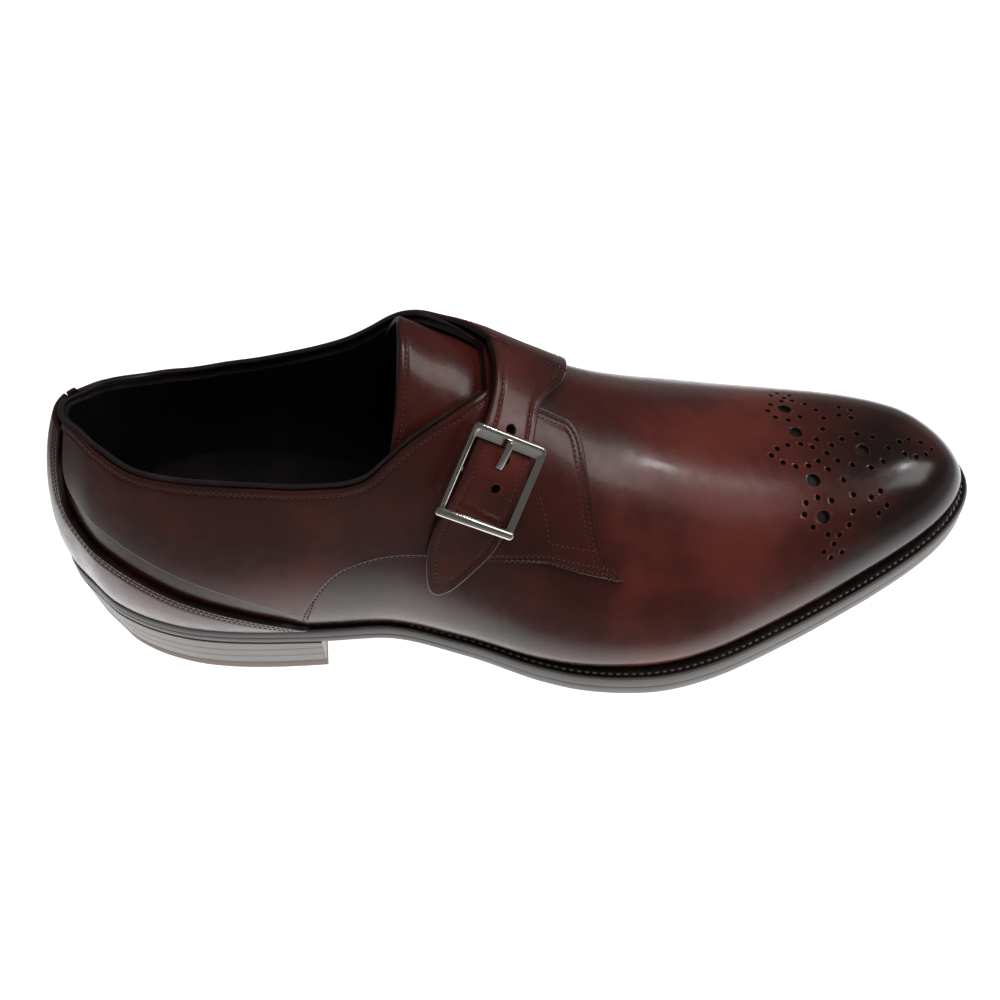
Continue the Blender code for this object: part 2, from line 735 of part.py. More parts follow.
def buckle_matrix():
    """The buckle's own axes on the strap: X across it, Y up it towards the instep, Z out."""
    run = BUCKLE_RUN
    at = (column(STRAP, "back_at", run) + column(STRAP, "front_at", run)) / 2
    share = (column(STRAP, "back_share", run) + column(STRAP, "front_share", run)) / 2
    ahead = BUCKLE_RUN - 0.1
    at_up = (column(STRAP, "back_at", ahead) + column(STRAP, "front_at", ahead)) / 2
    share_up = (column(STRAP, "back_share", ahead) + column(STRAP, "front_share", ahead)) / 2
    centre = leather(-1, station(at), share, 0.0)
    out = leather(-1, station(at), share, 0.01) - centre
    up = leather(-1, station(at_up), share_up, 0.0) - centre
    out = Vector(out).normalized()
    up = Vector(up)
    up = (up - out * up.dot(out)).normalized()
    across = up.cross(out)
    matrix = Matrix((across, up, out)).transposed().to_4x4()
    matrix.translation = Vector(to_frame(centre))
    return matrix


def box_frame(name, outer, inner, low, high, material, collection, matrix):
    """A flat rectangular frame between two heights, with its corners cut."""
    work = bmesh.new()
    loops = []
    for size, cut in ((outer, FRAME_CORNER), (inner, FRAME_CORNER / 3)):
        half_x = size[0] / 2
        half_y = size[1] / 2
        corners = []
        for sx, sy in ((1, 1), (-1, 1), (-1, -1), (1, -1)):
            pair = [(sx * half_x, sy * (half_y - cut)), (sx * (half_x - cut), sy * half_y)]
            corners += pair if sx * sy > 0 else pair[::-1]
        loops.append(corners)
    count = len(loops[0])
    rings = [[work.verts.new((x, y, z)) for x, y in loop] for loop in loops for z in (low, high)]
    outer_low, outer_high, inner_low, inner_high = rings
    for i in range(count):
        j = (i + 1) % count
        work.faces.new((outer_low[i], outer_low[j], outer_high[j], outer_high[i]))
        work.faces.new((inner_low[j], inner_low[i], inner_high[i], inner_high[j]))
        work.faces.new((outer_high[i], outer_high[j], inner_high[j], inner_high[i]))
        work.faces.new((outer_low[j], outer_low[i], inner_low[i], inner_low[j]))
    bmesh.ops.recalc_face_normals(work, faces=work.faces)
    mesh = bpy.data.meshes.new(name)
    work.to_mesh(mesh)
    work.free()
    mesh.materials.append(material)
    thing = bpy.data.objects.new(name, mesh)
    thing.matrix_world = matrix
    bevel = thing.modifiers.new("rounded", "BEVEL")
    bevel.width = FRAME_BEVEL
    bevel.segments = 2
    bevel.limit_method = "ANGLE"
    collection.objects.link(thing)
    return thing


def rod(name, points, radius, material, collection, matrix):
    curve = bpy.data.curves.new(name, "CURVE")
    curve.dimensions = "3D"
    curve.bevel_depth = radius
    curve.bevel_resolution = 2
    curve.use_fill_caps = True
    spline = curve.splines.new("POLY")
    spline.points.add(len(points) - 1)
    for point, position in zip(spline.points, points):
        point.co = (*position, 1.0)
    curve.materials.append(material)
    thing = bpy.data.objects.new(name, curve)
    thing.matrix_world = matrix
    collection.objects.link(thing)
    return thing


def add_buckle(collection, material):
    matrix = buckle_matrix()
    outer = (BUCKLE_ACROSS, BUCKLE_ALONG)
    inner = (BUCKLE_ACROSS - 2 * BUCKLE_SIDE, BUCKLE_ALONG - 2 * BUCKLE_BAR)
    box_frame("buckle_frame", outer, inner, FRAME_LOW, FRAME_LOW + BUCKLE_DEPTH, material,
              collection, matrix)
    reach = inner[0] / 2 - GAP
    rod("buckle_bar", [(-reach, 0, BAR_LEVEL), (reach, 0, BAR_LEVEL)], CENTRE_BAR_RADIUS,
        material, collection, matrix)
    rest = BUCKLE_ALONG / 2 - BUCKLE_BAR / 2
    over = FRAME_LOW + BUCKLE_DEPTH + PRONG_RADIUS + GAP
    rod("buckle_prong", [(0, rest - PRONG_LENGTH, PRONG_FOOT), (0, rest - PRONG_LENGTH / 2, over),
                         (0, rest + PRONG_RADIUS, over)],
        PRONG_RADIUS, material, collection, matrix)


def main():
    for thing in list(bpy.data.objects):
        bpy.data.objects.remove(thing, do_unlink=True)
    collection = bpy.data.collections.new("monk_strap_shoe")
    bpy.context.scene.collection.children.link(collection)
    vamp = finish("burgundy_leather", (0.085, 0.022, 0.017), 0.28)
    dark = finish("dark_edge_leather", (0.016, 0.010, 0.009), 0.35)
    lining = finish("black_lining", (0.012, 0.010, 0.010), 0.6)
    sole = finish("grey_brown_sole_edge", (0.23, 0.19, 0.17), 0.45)
    heel = finish("stacked_heel", (0.26, 0.21, 0.185), 0.45)
    heel_top = finish("heel_top_rubber", (0.20, 0.15, 0.13), 0.6)
    metal = finish("polished_buckle", (0.78, 0.76, 0.72), 0.12, 1.0)
    add_outsole(collection, sole)
    add_welt(collection, dark)
    add_heel(collection, {"heel": heel, "heel_top": heel_top})
    add_insole(collection, lining)
    add_upper(collection, vamp)
    add_tongue(collection, vamp)
    add_quarter_lateral(collection, vamp)
    add_quarter_medial_strap(collection, vamp)
    add_counter(collection, vamp)
    add_collar_binding(collection, dark)
    add_buckle(collection, metal)


main()
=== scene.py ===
"""A burgundy monk strap shoe, right foot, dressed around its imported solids.

+X points to the toe, -Y to the lateral (outer) side, +Z up, in metres. The leather pieces
follow the same last as the solids do.
"""
from collections import namedtuple
from math import cos, pi, radians, sin

import bmesh
import bpy
import numpy as np
from bpy.props import FloatProperty, FloatVectorProperty, PointerProperty
from mathutils import Matrix, Vector
from mathutils.bvhtree import BVHTree
from mathutils.kdtree import KDTree


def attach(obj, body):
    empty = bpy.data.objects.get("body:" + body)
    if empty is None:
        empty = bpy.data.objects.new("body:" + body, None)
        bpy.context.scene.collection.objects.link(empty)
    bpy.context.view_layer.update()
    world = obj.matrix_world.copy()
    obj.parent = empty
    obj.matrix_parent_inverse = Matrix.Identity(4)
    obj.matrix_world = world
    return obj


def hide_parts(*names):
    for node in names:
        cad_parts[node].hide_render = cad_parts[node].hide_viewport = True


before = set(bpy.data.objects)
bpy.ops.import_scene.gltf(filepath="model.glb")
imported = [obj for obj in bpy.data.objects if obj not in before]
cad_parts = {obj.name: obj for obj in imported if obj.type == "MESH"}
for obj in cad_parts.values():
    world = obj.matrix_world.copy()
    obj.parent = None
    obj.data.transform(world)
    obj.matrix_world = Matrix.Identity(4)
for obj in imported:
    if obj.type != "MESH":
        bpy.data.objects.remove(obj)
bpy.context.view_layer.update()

bl_info = {
    "name": "Monk strap shoe",
    "version": (1, 0, 0),
    "blender": (4, 5, 0),
    "location": "3D View > Sidebar > Shoe",
    "description": "Builds a leather monk strap shoe piece by piece",
    "category": "Add Mesh",
}

# Driving sizes, in metres
LENGTH = 0.2925
BALL_WIDTH = 0.105
HEEL_HEIGHT = 0.0205
HEEL_LENGTH = 0.078
TOE_SPRING = 0.009
SOLE_EDGE = 0.0095
INSTEP_HEIGHT = 0.122
FULLNESS = 0.0065
WELT_LEDGE = 0.006
WELT_REACH = 0.007
WALL = 0.002
QUARTER_THICK = 0.0012
COUNTER_THICK = 0.0016
STRAP_THICK = 0.0022
TONGUE_THICK = 0.0018
INSOLE_THICK = 0.003
BINDING_RADIUS = 0.0012
TOP_PIECE_THICK = 0.0045
HEEL_TAPER = 0.0022
CORNER_CUT = 0.014
LIFTS = 3
BUCKLE_ACROSS = 0.0255
BUCKLE_ALONG = 0.0290
BUCKLE_SIDE = 0.0020
BUCKLE_DEPTH = 0.0022
CENTRE_BAR_RADIUS = 0.0009
GAP = 0.0003

# Where the last's ridge ends at the heel and at the toe, as shares of the length
HEEL_POLE = 0.135
TOE_POLE = 0.876
POLE_SOFTNESS = 0.05

# How far up the wall it bulges most, as a share of its rise
SWELL_RISE = 0.22

# Points closer than this are one
SAME_PLACE = 2e-5

# Smaller sizes and clearances that follow the construction
WELT_SHARE = 0.45
FLAT_START = 0.627
FLAT_END = 0.730
CORNER_START = 0.211
SEAM_CLEAR = 0.007
SEAM_CLEAR_ALONG = 0.0014
BACK_SEAM = 0.0118
BODY_BACK = 0.015
THROAT_RUN = 0.012
INSOLE_CLEARANCE = 0.0012
LINING_GAP = 0.0009
LAP_GAP = 0.0005
BINDING_END = 0.425
BINDING_LEVEL = 0.0002
BINDING_GAP = 0.0005
RISE_START = 0.70
RISE_BACK = 0.385
FRAME_LOW = 0.0048
BAR_LEVEL = 0.0030

NAMES = {-1: "lateral", 1: "medial"}


def table(columns, *rows):
    """Rows of shares with named columns."""
    row_type = namedtuple("Row", columns)
    return tuple(row_type(*row) for row in rows)


# The sole's outline: half widths as shares of the ball width, at shares of the length
OUTLINE = table(
    "at lateral medial",
    (0.030, 0.155, 0.150), (0.058, 0.236, 0.228), (0.099, 0.302, 0.289), (0.139, 0.340, 0.319),
    (0.178, 0.360, 0.322), (0.227, 0.373, 0.304), (0.272, 0.378, 0.276), (0.326, 0.374, 0.250),
    (0.429, 0.447, 0.265), (0.533, 0.548, 0.390), (0.637, 0.562, 0.474), (0.720, 0.490, 0.455),
    (0.803, 0.405, 0.412), (0.886, 0.308, 0.345), (0.948, 0.212, 0.262))

# The sole seen from the side: its underside as shares of the heel height and the toe spring,
# its edge as a share of SOLE_EDGE, and the ledge that shows as a share of WELT_LEDGE
SIDE = table(
    "at heel_rise toe_rise edge ledge",
    (0.000, 1.00, 0.00, 0.70, 0.50), (0.091, 0.97, 0.00, 0.70, 0.42),
    (0.228, 0.92, 0.00, 0.70, 0.36), (0.326, 0.78, 0.00, 0.71, 0.36),
    (0.429, 0.50, 0.00, 0.80, 0.48), (0.533, 0.14, 0.00, 0.94, 0.75),
    (0.627, 0.00, 0.00, 1.00, 0.90), (0.730, 0.00, 0.00, 1.00, 0.98),
    (0.844, 0.00, 0.34, 1.00, 1.00), (0.927, 0.00, 0.70, 1.00, 0.98),
    (1.000, 0.00, 1.00, 1.00, 0.90))

# The last: the ridge's height as a share of INSTEP_HEIGHT and its shift to the medial side
# as a share of BALL_WIDTH, then how round the top and how steep the wall is on each side
# (powers), and how far the wall bulges past its foot as a share of FULLNESS
LAST = table(
    "at ridge shift top_lateral wall_lateral top_medial wall_medial bulge_lateral bulge_medial",
    (0.000, 0.950, 0.00, 2.0, 2.1, 2.0, 2.1, 0.20, 0.20),
    (0.091, 0.950, 0.00, 2.0, 2.1, 2.0, 2.0, 0.35, 0.35),
    (0.182, 0.970, -0.01, 1.9, 2.1, 1.8, 2.0, 0.45, 0.45),
    (0.274, 0.990, 0.00, 2.0, 2.0, 1.9, 2.0, 0.50, 0.65),
    (0.357, 0.975, 0.03, 2.1, 1.85, 2.1, 2.0, 0.60, 0.85),
    (0.429, 0.860, 0.045, 2.0, 1.7, 2.0, 1.8, 0.70, 0.90),
    (0.502, 0.715, 0.05, 2.0, 1.65, 2.0, 1.75, 0.75, 0.80),
    (0.585, 0.565, 0.04, 2.0, 1.75, 2.0, 1.75, 0.65, 0.65),
    (0.689, 0.445, 0.01, 2.1, 2.05, 2.05, 2.05, 0.60, 0.55),
    (0.793, 0.368, -0.01, 2.3, 2.5, 2.3, 2.5, 0.50, 0.50),
    (0.876, 0.340, -0.010, 2.4, 2.8, 2.4, 2.8, 0.42, 0.42),
    (1.000, 0.300, -0.010, 2.4, 3.0, 2.4, 3.0, 0.40, 0.40))

# The collar's edge, as shares of the way up from the sole to the ridge
COLLAR = table(
    "at lateral medial",
    (0.000, 0.535, 0.535), (0.022, 0.548, 0.490), (0.045, 0.540, 0.445), (0.069, 0.522, 0.405),
    (0.109, 0.486, 0.352), (0.152, 0.468, 0.328), (0.220, 0.448, 0.350), (0.274, 0.438, 0.402),
    (0.307, 0.440, 0.448), (0.330, 0.455, 0.485), (0.354, 0.510, 0.545), (0.381, 0.592, 0.665),
    (0.403, 0.660, 0.780), (0.420, 0.712, 0.845), (0.440, 0.780, 0.935), (0.455, 0.835, 1.000))
THROAT = 0.455

# The counter's upper edge and the quarters' lower edges, the same way
COUNTER = table(
    "at share",
    (0.000, 0.515), (0.0115, 0.510), (0.0165, 0.370), (0.0205, 0.275), (0.030, 0.228),
    (0.045, 0.206), (0.082, 0.176), (0.138, 0.122), (0.193, 0.074), (0.235, 0.036),
    (0.256, 0.004))
COUNTER_END = 0.256

HEM = table(
    "at lateral medial",
    (0.256, 0.000, 0.000), (0.274, 0.105, 0.085), (0.302, 0.180, 0.135), (0.327, 0.212, 0.155),
    (0.372, 0.262, 0.180), (0.436, 0.338, 0.215), (0.511, 0.410, 0.262), (0.585, 0.412, 0.272))

# The quarters' front edges, from the instep down to the low point of each
FRONT_LATERAL = table(
    "at share",
    (0.455, 0.835), (0.480, 0.845), (0.510, 0.852), (0.530, 0.852), (0.540, 0.828),
    (0.5445, 0.780), (0.5465, 0.700), (0.548, 0.620), (0.5505, 0.550), (0.555, 0.495),
    (0.564, 0.453), (0.579, 0.413))
FRONT_MEDIAL = table(
    "at share",
    (0.531, 1.000), (0.538, 0.800), (0.543, 0.620), (0.550, 0.450), (0.562, 0.335),
    (0.585, 0.274))
STRAP_FRONT = 0.531

# The strap from the ridge to its tip: both edges, where they lie along and up the side,
# and how high the strap's underside is above the upper, as a share of its own thickness
STRAP = table(
    "run back_at back_share front_at front_share lift",
    (0.00, 0.455, 1.000, 0.531, 1.000, 0.95), (0.10, 0.458, 0.920, 0.524, 0.950, 1.00),
    (0.20, 0.456, 0.855, 0.511, 0.895, 1.00), (0.30, 0.450, 0.775, 0.499, 0.840, 1.00),
    (0.42, 0.438, 0.685, 0.488, 0.740, 1.40), (0.55, 0.421, 0.575, 0.477, 0.615, 1.90),
    (0.67, 0.406, 0.475, 0.462, 0.490, 1.30), (0.78, 0.391, 0.380, 0.449, 0.405, 0.95),
    (0.88, 0.385, 0.300, 0.434, 0.345, 0.90), (0.95, 0.385, 0.250, 0.417, 0.285, 0.90),
    (1.00, 0.390, 0.215, 0.399, 0.228, 0.90))
BUCKLE_RUN = 0.55

# The tongue: its top edge's place at the ridge and at its sides, and how far down it reaches
TONGUE_TOP = 0.385
TONGUE_CORNER = 0.352
TONGUE_FOOT = 0.515
TONGUE_SIDE = 0.45


def column(table, name, at):
    """A smooth curve through one column of a table, with no overshoot between its rows."""
    xs = np.array([row.at if hasattr(row, "at") else row.run for row in table])
    ys = np.array([getattr(row, name) for row in table], dtype=float)
    steps = np.diff(xs)
    slopes = np.diff(ys) / steps
    tangents = np.zeros(len(xs))
    for i in range(1, len(xs) - 1):
        if slopes[i - 1] * slopes[i] > 0:
            before = 2 * steps[i] + steps[i - 1]
            after = steps[i] + 2 * steps[i - 1]
            tangents[i] = (before + after) / (before / slopes[i - 1] + after / slopes[i])
    tangents[0] = slopes[0]
    tangents[-1] = slopes[-1]
    at = np.clip(np.asarray(at, dtype=float), xs[0], xs[-1])
    k = np.clip(np.searchsorted(xs, at) - 1, 0, len(xs) - 2)
    t = (at - xs[k]) / steps[k]
    return ((1 + 2 * t) * (1 - t) ** 2 * ys[k] + t * (1 - t) ** 2 * steps[k] * tangents[k]
            + t * t * (3 - 2 * t) * ys[k + 1] + t * t * (t - 1) * steps[k] * tangents[k + 1])


def station(at):
    """The turn along one side of the outline, 0 at the heel to 1 at the toe, for a place."""
    return np.arccos(1 - 2 * np.asarray(at, dtype=float)) / pi


def place(turn):
    """The place along the shoe, as a share of its length, for a turn along one side."""
    return (1 - np.cos(pi * np.asarray(turn, dtype=float))) / 2


# The squares of the half widths, which reach nothing at heel and toe
SQUARES = {side: table("at share", (0.0, 0.0),
                       *((row.at, getattr(row, name) ** 2) for row in OUTLINE), (1.0, 0.0))
           for side, name in NAMES.items()}


def half_width(side, at):
    """The sole's half width on one side (-1 lateral, 1 medial), round at heel and toe."""
    at = np.asarray(at, dtype=float)
    # Between the waist and the toe the outline is eased over a stretch on both sides
    spread = 0.05 * np.clip((at - 0.35) / 0.15, 0, 1) * np.clip((0.95 - at) / 0.12, 0, 1)
    shares = [np.sqrt(np.maximum(column(SQUARES[side], "share", at + spread * step), 0))
              for step in (-1.0, -0.6, -0.2, 0.2, 0.6, 1.0)]
    return BALL_WIDTH * np.mean(shares, axis=0)


def outline(side, turn, inset=0.0):
    """Points of the sole's outline on one side, moved inward by inset."""
    turn = np.asarray(turn, dtype=float)
    step = 1e-3

    def raw(t):
        mirrored = np.where((t < 0) | (t > 1), -1, 1)
        t = np.where(t < 0, -t, np.where(t > 1, 2 - t, t))
        at = place(t)
        width = np.where(mirrored > 0, half_width(side, at), -half_width(-side, at))
        return np.stack([at * LENGTH, side * width], axis=-1)

    run = raw(turn + step) - raw(turn - step)
    outward = np.stack([-side * run[..., 1], side * run[..., 0]], axis=-1)
    outward = outward / np.linalg.norm(outward, axis=-1, keepdims=True)
    return raw(turn) - outward * np.asarray(inset)[..., None], outward


def sole_under(at):
    """The height of the sole's underside above the ground."""
    return HEEL_HEIGHT * column(SIDE, "heel_rise", at) + TOE_SPRING * column(SIDE, "toe_rise", at)


def sole_edge(at):
    """The thickness of outsole and welt together."""
    return SOLE_EDGE * column(SIDE, "edge", at)


def sole_top(at):
    return sole_under(at) + sole_edge(at)


def ledge(at):
    """How wide the welt shows outside the upper."""
    return WELT_LEDGE * column(SIDE, "ledge", at)


def ridge_place(at):
    """Where the profile that starts at this place meets the ridge."""
    def soft_step(x):
        return POLE_SOFTNESS * np.logaddexp(0, x / POLE_SOFTNESS)
    return HEEL_POLE + soft_step(at - HEEL_POLE) - soft_step(at - TOE_POLE)


def ridge_height(at):
    return INSTEP_HEIGHT * column(LAST, "ridge", at)


def bare_last(side, turn, share):
    """A point of the upper's outer face: share runs from 0 at the sole to 1 at the ridge."""
    turn = np.asarray(turn, dtype=float)
    share = np.asarray(share, dtype=float)
    turn, share = np.broadcast_arrays(turn, share)
    at = place(turn)
    foot, outward = outline(side, turn, ledge(at))
    name = NAMES[side]
    top_power = column(LAST, "top_" + name, at)
    wall_power = column(LAST, "wall_" + name, at)
    bulge = FULLNESS * column(LAST, "bulge_" + name, at)
    ridge_at = ridge_place(at)
    ridge = np.stack([ridge_at * LENGTH, BALL_WIDTH * column(LAST, "shift", ridge_at)], axis=-1)
    foot_z = sole_top(foot[..., 0] / LENGTH) + GAP
    ridge_z = ridge_height(ridge_at)
    slope = (ridge_height(ridge_at + 0.01) - ridge_height(ridge_at - 0.01)) / (0.02 * LENGTH)
    lean = slope * (ridge[..., 0] - foot[..., 0])
    angle = share * pi / 2
    rise = np.maximum(np.sin(angle), 0) ** (2 / wall_power)
    run = 1 - np.maximum(np.cos(angle), 0) ** (2 / top_power)
    swell = rise / SWELL_RISE * np.exp(1 - rise / SWELL_RISE) * np.sqrt(np.maximum(1 - rise, 0))
    xy = foot + (ridge - foot) * run[..., None] + outward * (bulge * swell)[..., None]
    z = foot_z + (ridge_z - foot_z - lean) * rise + lean * run
    return np.concatenate([xy, z[..., None]], axis=-1)


def leather(side, turn, share, level=0.0):
    """A point at a level above the upper's outer face, negative inside it."""
    step = 2e-3
    turn, share, level = np.broadcast_arrays(*(np.asarray(v, dtype=float)
                                               for v in (turn, share, level)))
    near = np.clip(turn, step, 1 - step)
    inner = np.clip(share, step, 1 - step)
    along = bare_last(side, near + step, inner) - bare_last(side, near - step, inner)
    up = bare_last(side, near, inner + step) - bare_last(side, near, inner - step)
    normal = np.cross(along, up) * -side
    ends = ((turn <= 0) | (turn >= 1))[..., None]
    normal = np.where(ends, normal * np.array([1.0, 0.0, 1.0]), normal)
    ridge_at = ridge_place(place(turn))
    slope = (ridge_height(ridge_at + step) - ridge_height(ridge_at - step)) / (2 * step * LENGTH)
    crest = np.stack([-slope, np.zeros_like(slope), np.ones_like(slope)], axis=-1)
    normal = np.where((share >= 1)[..., None], crest, normal)
    normal = normal / np.linalg.norm(normal, axis=-1, keepdims=True)
    points = bare_last(side, turn, share) + normal * level[..., None]
    ground = sole_top(np.clip(points[..., 0] / LENGTH, 0, 1)) + GAP
    points[..., 2] = np.maximum(points[..., 2], ground)
    return points


def to_frame(points):
    """The origin is moved under the middle of the heel."""
    return np.asarray(points, dtype=float) - np.array([HEEL_LENGTH / 2, 0.0, 0.0])


def tree_of(points):
    """A search tree of points."""
    tree = KDTree(len(points))
    for i, point in enumerate(points):
        tree.insert(point, i)
    tree.balance()
    return tree


def join_map(points):
    """For each point the index of the first point that lies in the same place."""
    tree = tree_of(points)
    return [min(i for _, i, _ in tree.find_range(point, SAME_PLACE)) for point in points]


def collar_share(side, at):
    return column(COLLAR, NAMES[side], at)


def low_edge(side, at):
    """The quarters' lower edge: just above the counter, then the hem that rises from the sole."""
    beside = column(COUNTER, "share", at - SEAM_CLEAR_ALONG) + SEAM_CLEAR
    return np.where(at < COUNTER_END, beside,
                    np.maximum(column(HEM, NAMES[side], at), SEAM_CLEAR))


# How finely the shown pieces are divided
FINE_SHIFT = 1e-4
BODY_COLUMNS = 240
BODY_ROWS = 84
SOLE_COLUMNS = 170
# Distances from a piece's edge at which its grid has lines, in metres
RIM_LINES = (0.0, 0.00012, 0.0003, 0.0006, 0.001, 0.00135, 0.0016, 0.0019, 0.0024, 0.0029,
             0.0032, 0.0035, 0.004, 0.0048)

# The medallion in its own axes, in millimetres along and across: holes on the midline,
# then holes that are mirrored across it
MEDALLION_AT = (0.1935, -0.0049)
MEDALLION_TURN = 5.0
BIG_MIDDLE = ((19.6, 0.0),)
BIG_PAIRS = ((0.0, 9.0), (0.3, 19.8))
SMALL_MIDDLE = ((44.0, 0.0), (28.4, 0.0), (7.4, 0.0), (-11.2, 0.0))
SMALL_PAIRS = ((41.0, 2.3), (37.0, 3.4), (33.3, 2.3), (24.8, 4.7), (20.0, 6.5), (14.3, 5.0),
               (10.0, 3.0), (9.6, 9.7), (6.0, 5.7), (3.6, 2.7), (0.0, 4.1), (-4.4, 4.0),
               (-8.2, 2.6), (-3.8, 22.3), (-6.0, 18.9), (-4.5, 15.7), (-0.4, 14.3), (4.0, 15.6),
               (0.6, 24.1), (4.6, 24.2), (8.3, 22.0), (10.6, 18.7), (11.7, 14.4), (17.4, 15.4),
               (19.0, 19.4), (21.0, 13.8), (22.5, 17.4), (-1.3, 27.8), (1.3, 29.5), (2.4, 26.1),
               (5.0, 27.8))

def length(name, description, default, low, high):
    return FloatProperty(name=name, description=description, default=default, min=low, max=high,
                         unit="LENGTH")


def colour(name, description, default):
    return FloatVectorProperty(name=name, description=description, default=default,
                               subtype="COLOR", min=0.0, max=1.0)


def power(name, description, default):
    return FloatProperty(name=name, description=description, default=default, min=0.0,
                         unit="POWER")


class ShoeSizes(bpy.types.PropertyGroup):
    stitch_pitch: length("Stitch pitch", "Distance from one stitch to the next along a seam",
                         0.00155, 0.0008, 0.004)
    stitch_width: length("Thread width", "Thickness of the sewing thread",
                         0.0005, 0.0002, 0.001)
    groove_depth: length("Seam depth", "How deep a seam is drawn into the leather",
                         0.00024, 0.0, 0.0005)
    edge_round: length("Edge rounding", "Radius of the rounded leather edges",
                       0.0006, 0.0001, 0.001)
    small_hole: length("Small hole", "Diameter of the medallion's small holes",
                       0.0016, 0.0005, 0.003)
    big_hole: length("Big hole", "Diameter of the medallion's big holes", 0.0040, 0.001, 0.006)
    hole_depth: length("Hole depth", "How deep the medallion's holes go",
                       0.0012, 0.0005, 0.0018)
    strap_hole: length("Strap hole", "Diameter of the strap's holes", 0.0026, 0.001, 0.004)
    welt_pitch: length("Welt stitch pitch", "Distance between the stitches on the welt",
                       0.0024, 0.001, 0.005)


class ShoeColours(bpy.types.PropertyGroup):
    leather_light: colour("Leather, light", "The reddish places of the hand-dyed leather",
                          (0.155, 0.0290, 0.0190))
    leather_mid: colour("Leather, middle", "The leather's usual colour",
                        (0.070, 0.0135, 0.0100))
    # leather_dark also colours the painted shade on the vamp along the quarters' front edges
    leather_dark: colour("Leather, burnished", "The burnished places at the toe and the edges",
                         (0.0145, 0.0066, 0.0056))
    edge_ink: colour("Edge ink", "The dark dressing on cut edges, binding and welt",
                     (0.010, 0.007, 0.0065))
    thread: colour("Thread", "The sewing thread of the upper", (0.120, 0.036, 0.028))
    welt_thread: colour("Welt thread", "The waxed thread on the welt", (0.200, 0.170, 0.150))
    lining: colour("Lining", "The black lining leather", (0.012, 0.010, 0.010))
    sole: colour("Sole edge", "The dressed edge of the sole", (0.120, 0.110, 0.104))
    heel: colour("Heel", "The stacked lifts of the heel", (0.165, 0.148, 0.136))
    metal: colour("Buckle", "The polished nickel of the buckle", (0.78, 0.75, 0.69))


class StageLight(bpy.types.PropertyGroup):
    key_power: power("Key light", "Power of the soft box beyond the toe", 1.1)
    fill_power: power("Fill light", "Power of the wide soft light overhead", 14.0)
    toe_power: power("Toe light", "Power of the small light that gives the toe its spot", 0.35)
    floor_glow: FloatProperty(
        name="Floor light", description="How brightly the pale floor glows",
        default=1.1, min=0.0)


# Materials

WHITE = (1.0, 1.0, 1.0, 1.0)


def put(tree, socket, value):
    """An output is linked to the socket; any other value becomes the socket's own."""
    if isinstance(value, bpy.types.NodeSocket):
        tree.links.new(value, socket)
    else:
        socket.default_value = value


def dress(tree, made, **values):
    """Fills a node's inputs, each under its name."""
    for key, value in values.items():
        put(tree, made.inputs[key.replace("_", " ")], value)


def node(tree, kind, *unnamed, **values):
    """A shader or geometry node: its settings, then its inputs in order or by name."""
    made = tree.nodes.new(kind)
    named = {}
    for key, value in values.items():
        if hasattr(made, key):
            setattr(made, key, value)
        else:
            named[key] = value
    for i, value in enumerate(unnamed):
        put(tree, made.inputs[i], value)
    dress(tree, made, **named)
    return made


def worked(tree, operation, *values, **settings):
    """The result of one step of arithmetic."""
    return node(tree, "ShaderNodeMath", *values, operation=operation, **settings).outputs[0]


def ranged(tree, value, low=0.0, high=1.0, start=0.0, end=1.0, kind="LINEAR"):
    """The value moved from the range low to high into the range start to end."""
    return node(tree, "ShaderNodeMapRange", interpolation_type=kind, Value=value, From_Min=low,
                From_Max=high, To_Min=start, To_Max=end).outputs["Result"]


def own_place(tree):
    """Where a point lies in its piece's own axes."""
    return node(tree, "ShaderNodeTexCoord").outputs["Object"]


def noise(tree, spot, **values):
    return node(tree, "ShaderNodeTexNoise", Vector=spot, **values).outputs["Fac"]


def mixed(tree, amount, first, second):
    """A colour between two colours."""
    return node(tree, "ShaderNodeMix", data_type="RGBA", Factor=amount, A=first,
                B=second).outputs["Result"]


def bump(tree, height, distance):
    return node(tree, "ShaderNodeBump", Distance=distance, Strength=1.0,
                Height=height).outputs["Normal"]


def rgba(colour, dim=1.0):
    return (colour[0] * dim, colour[1] * dim, colour[2] * dim, 1.0)


def socket_group(name, inputs, outputs):
    """A shader node group: inputs with their usual values, and outputs, by name."""
    group = bpy.data.node_groups.new(name, "ShaderNodeTree")
    for label, usual in inputs.items():
        kind = "NodeSocketFloat" if isinstance(usual, float) else "NodeSocketColor"
        made = group.interface.new_socket(label, in_out="INPUT", socket_type=kind)
        made.default_value = usual
    for label in outputs:
        kind = "NodeSocketColor" if label == "Color" else "NodeSocketFloat"
        group.interface.new_socket(label, in_out="OUTPUT", socket_type=kind)
    return (group, group.nodes.new("NodeGroupInput").outputs,
            group.nodes.new("NodeGroupOutput").inputs)


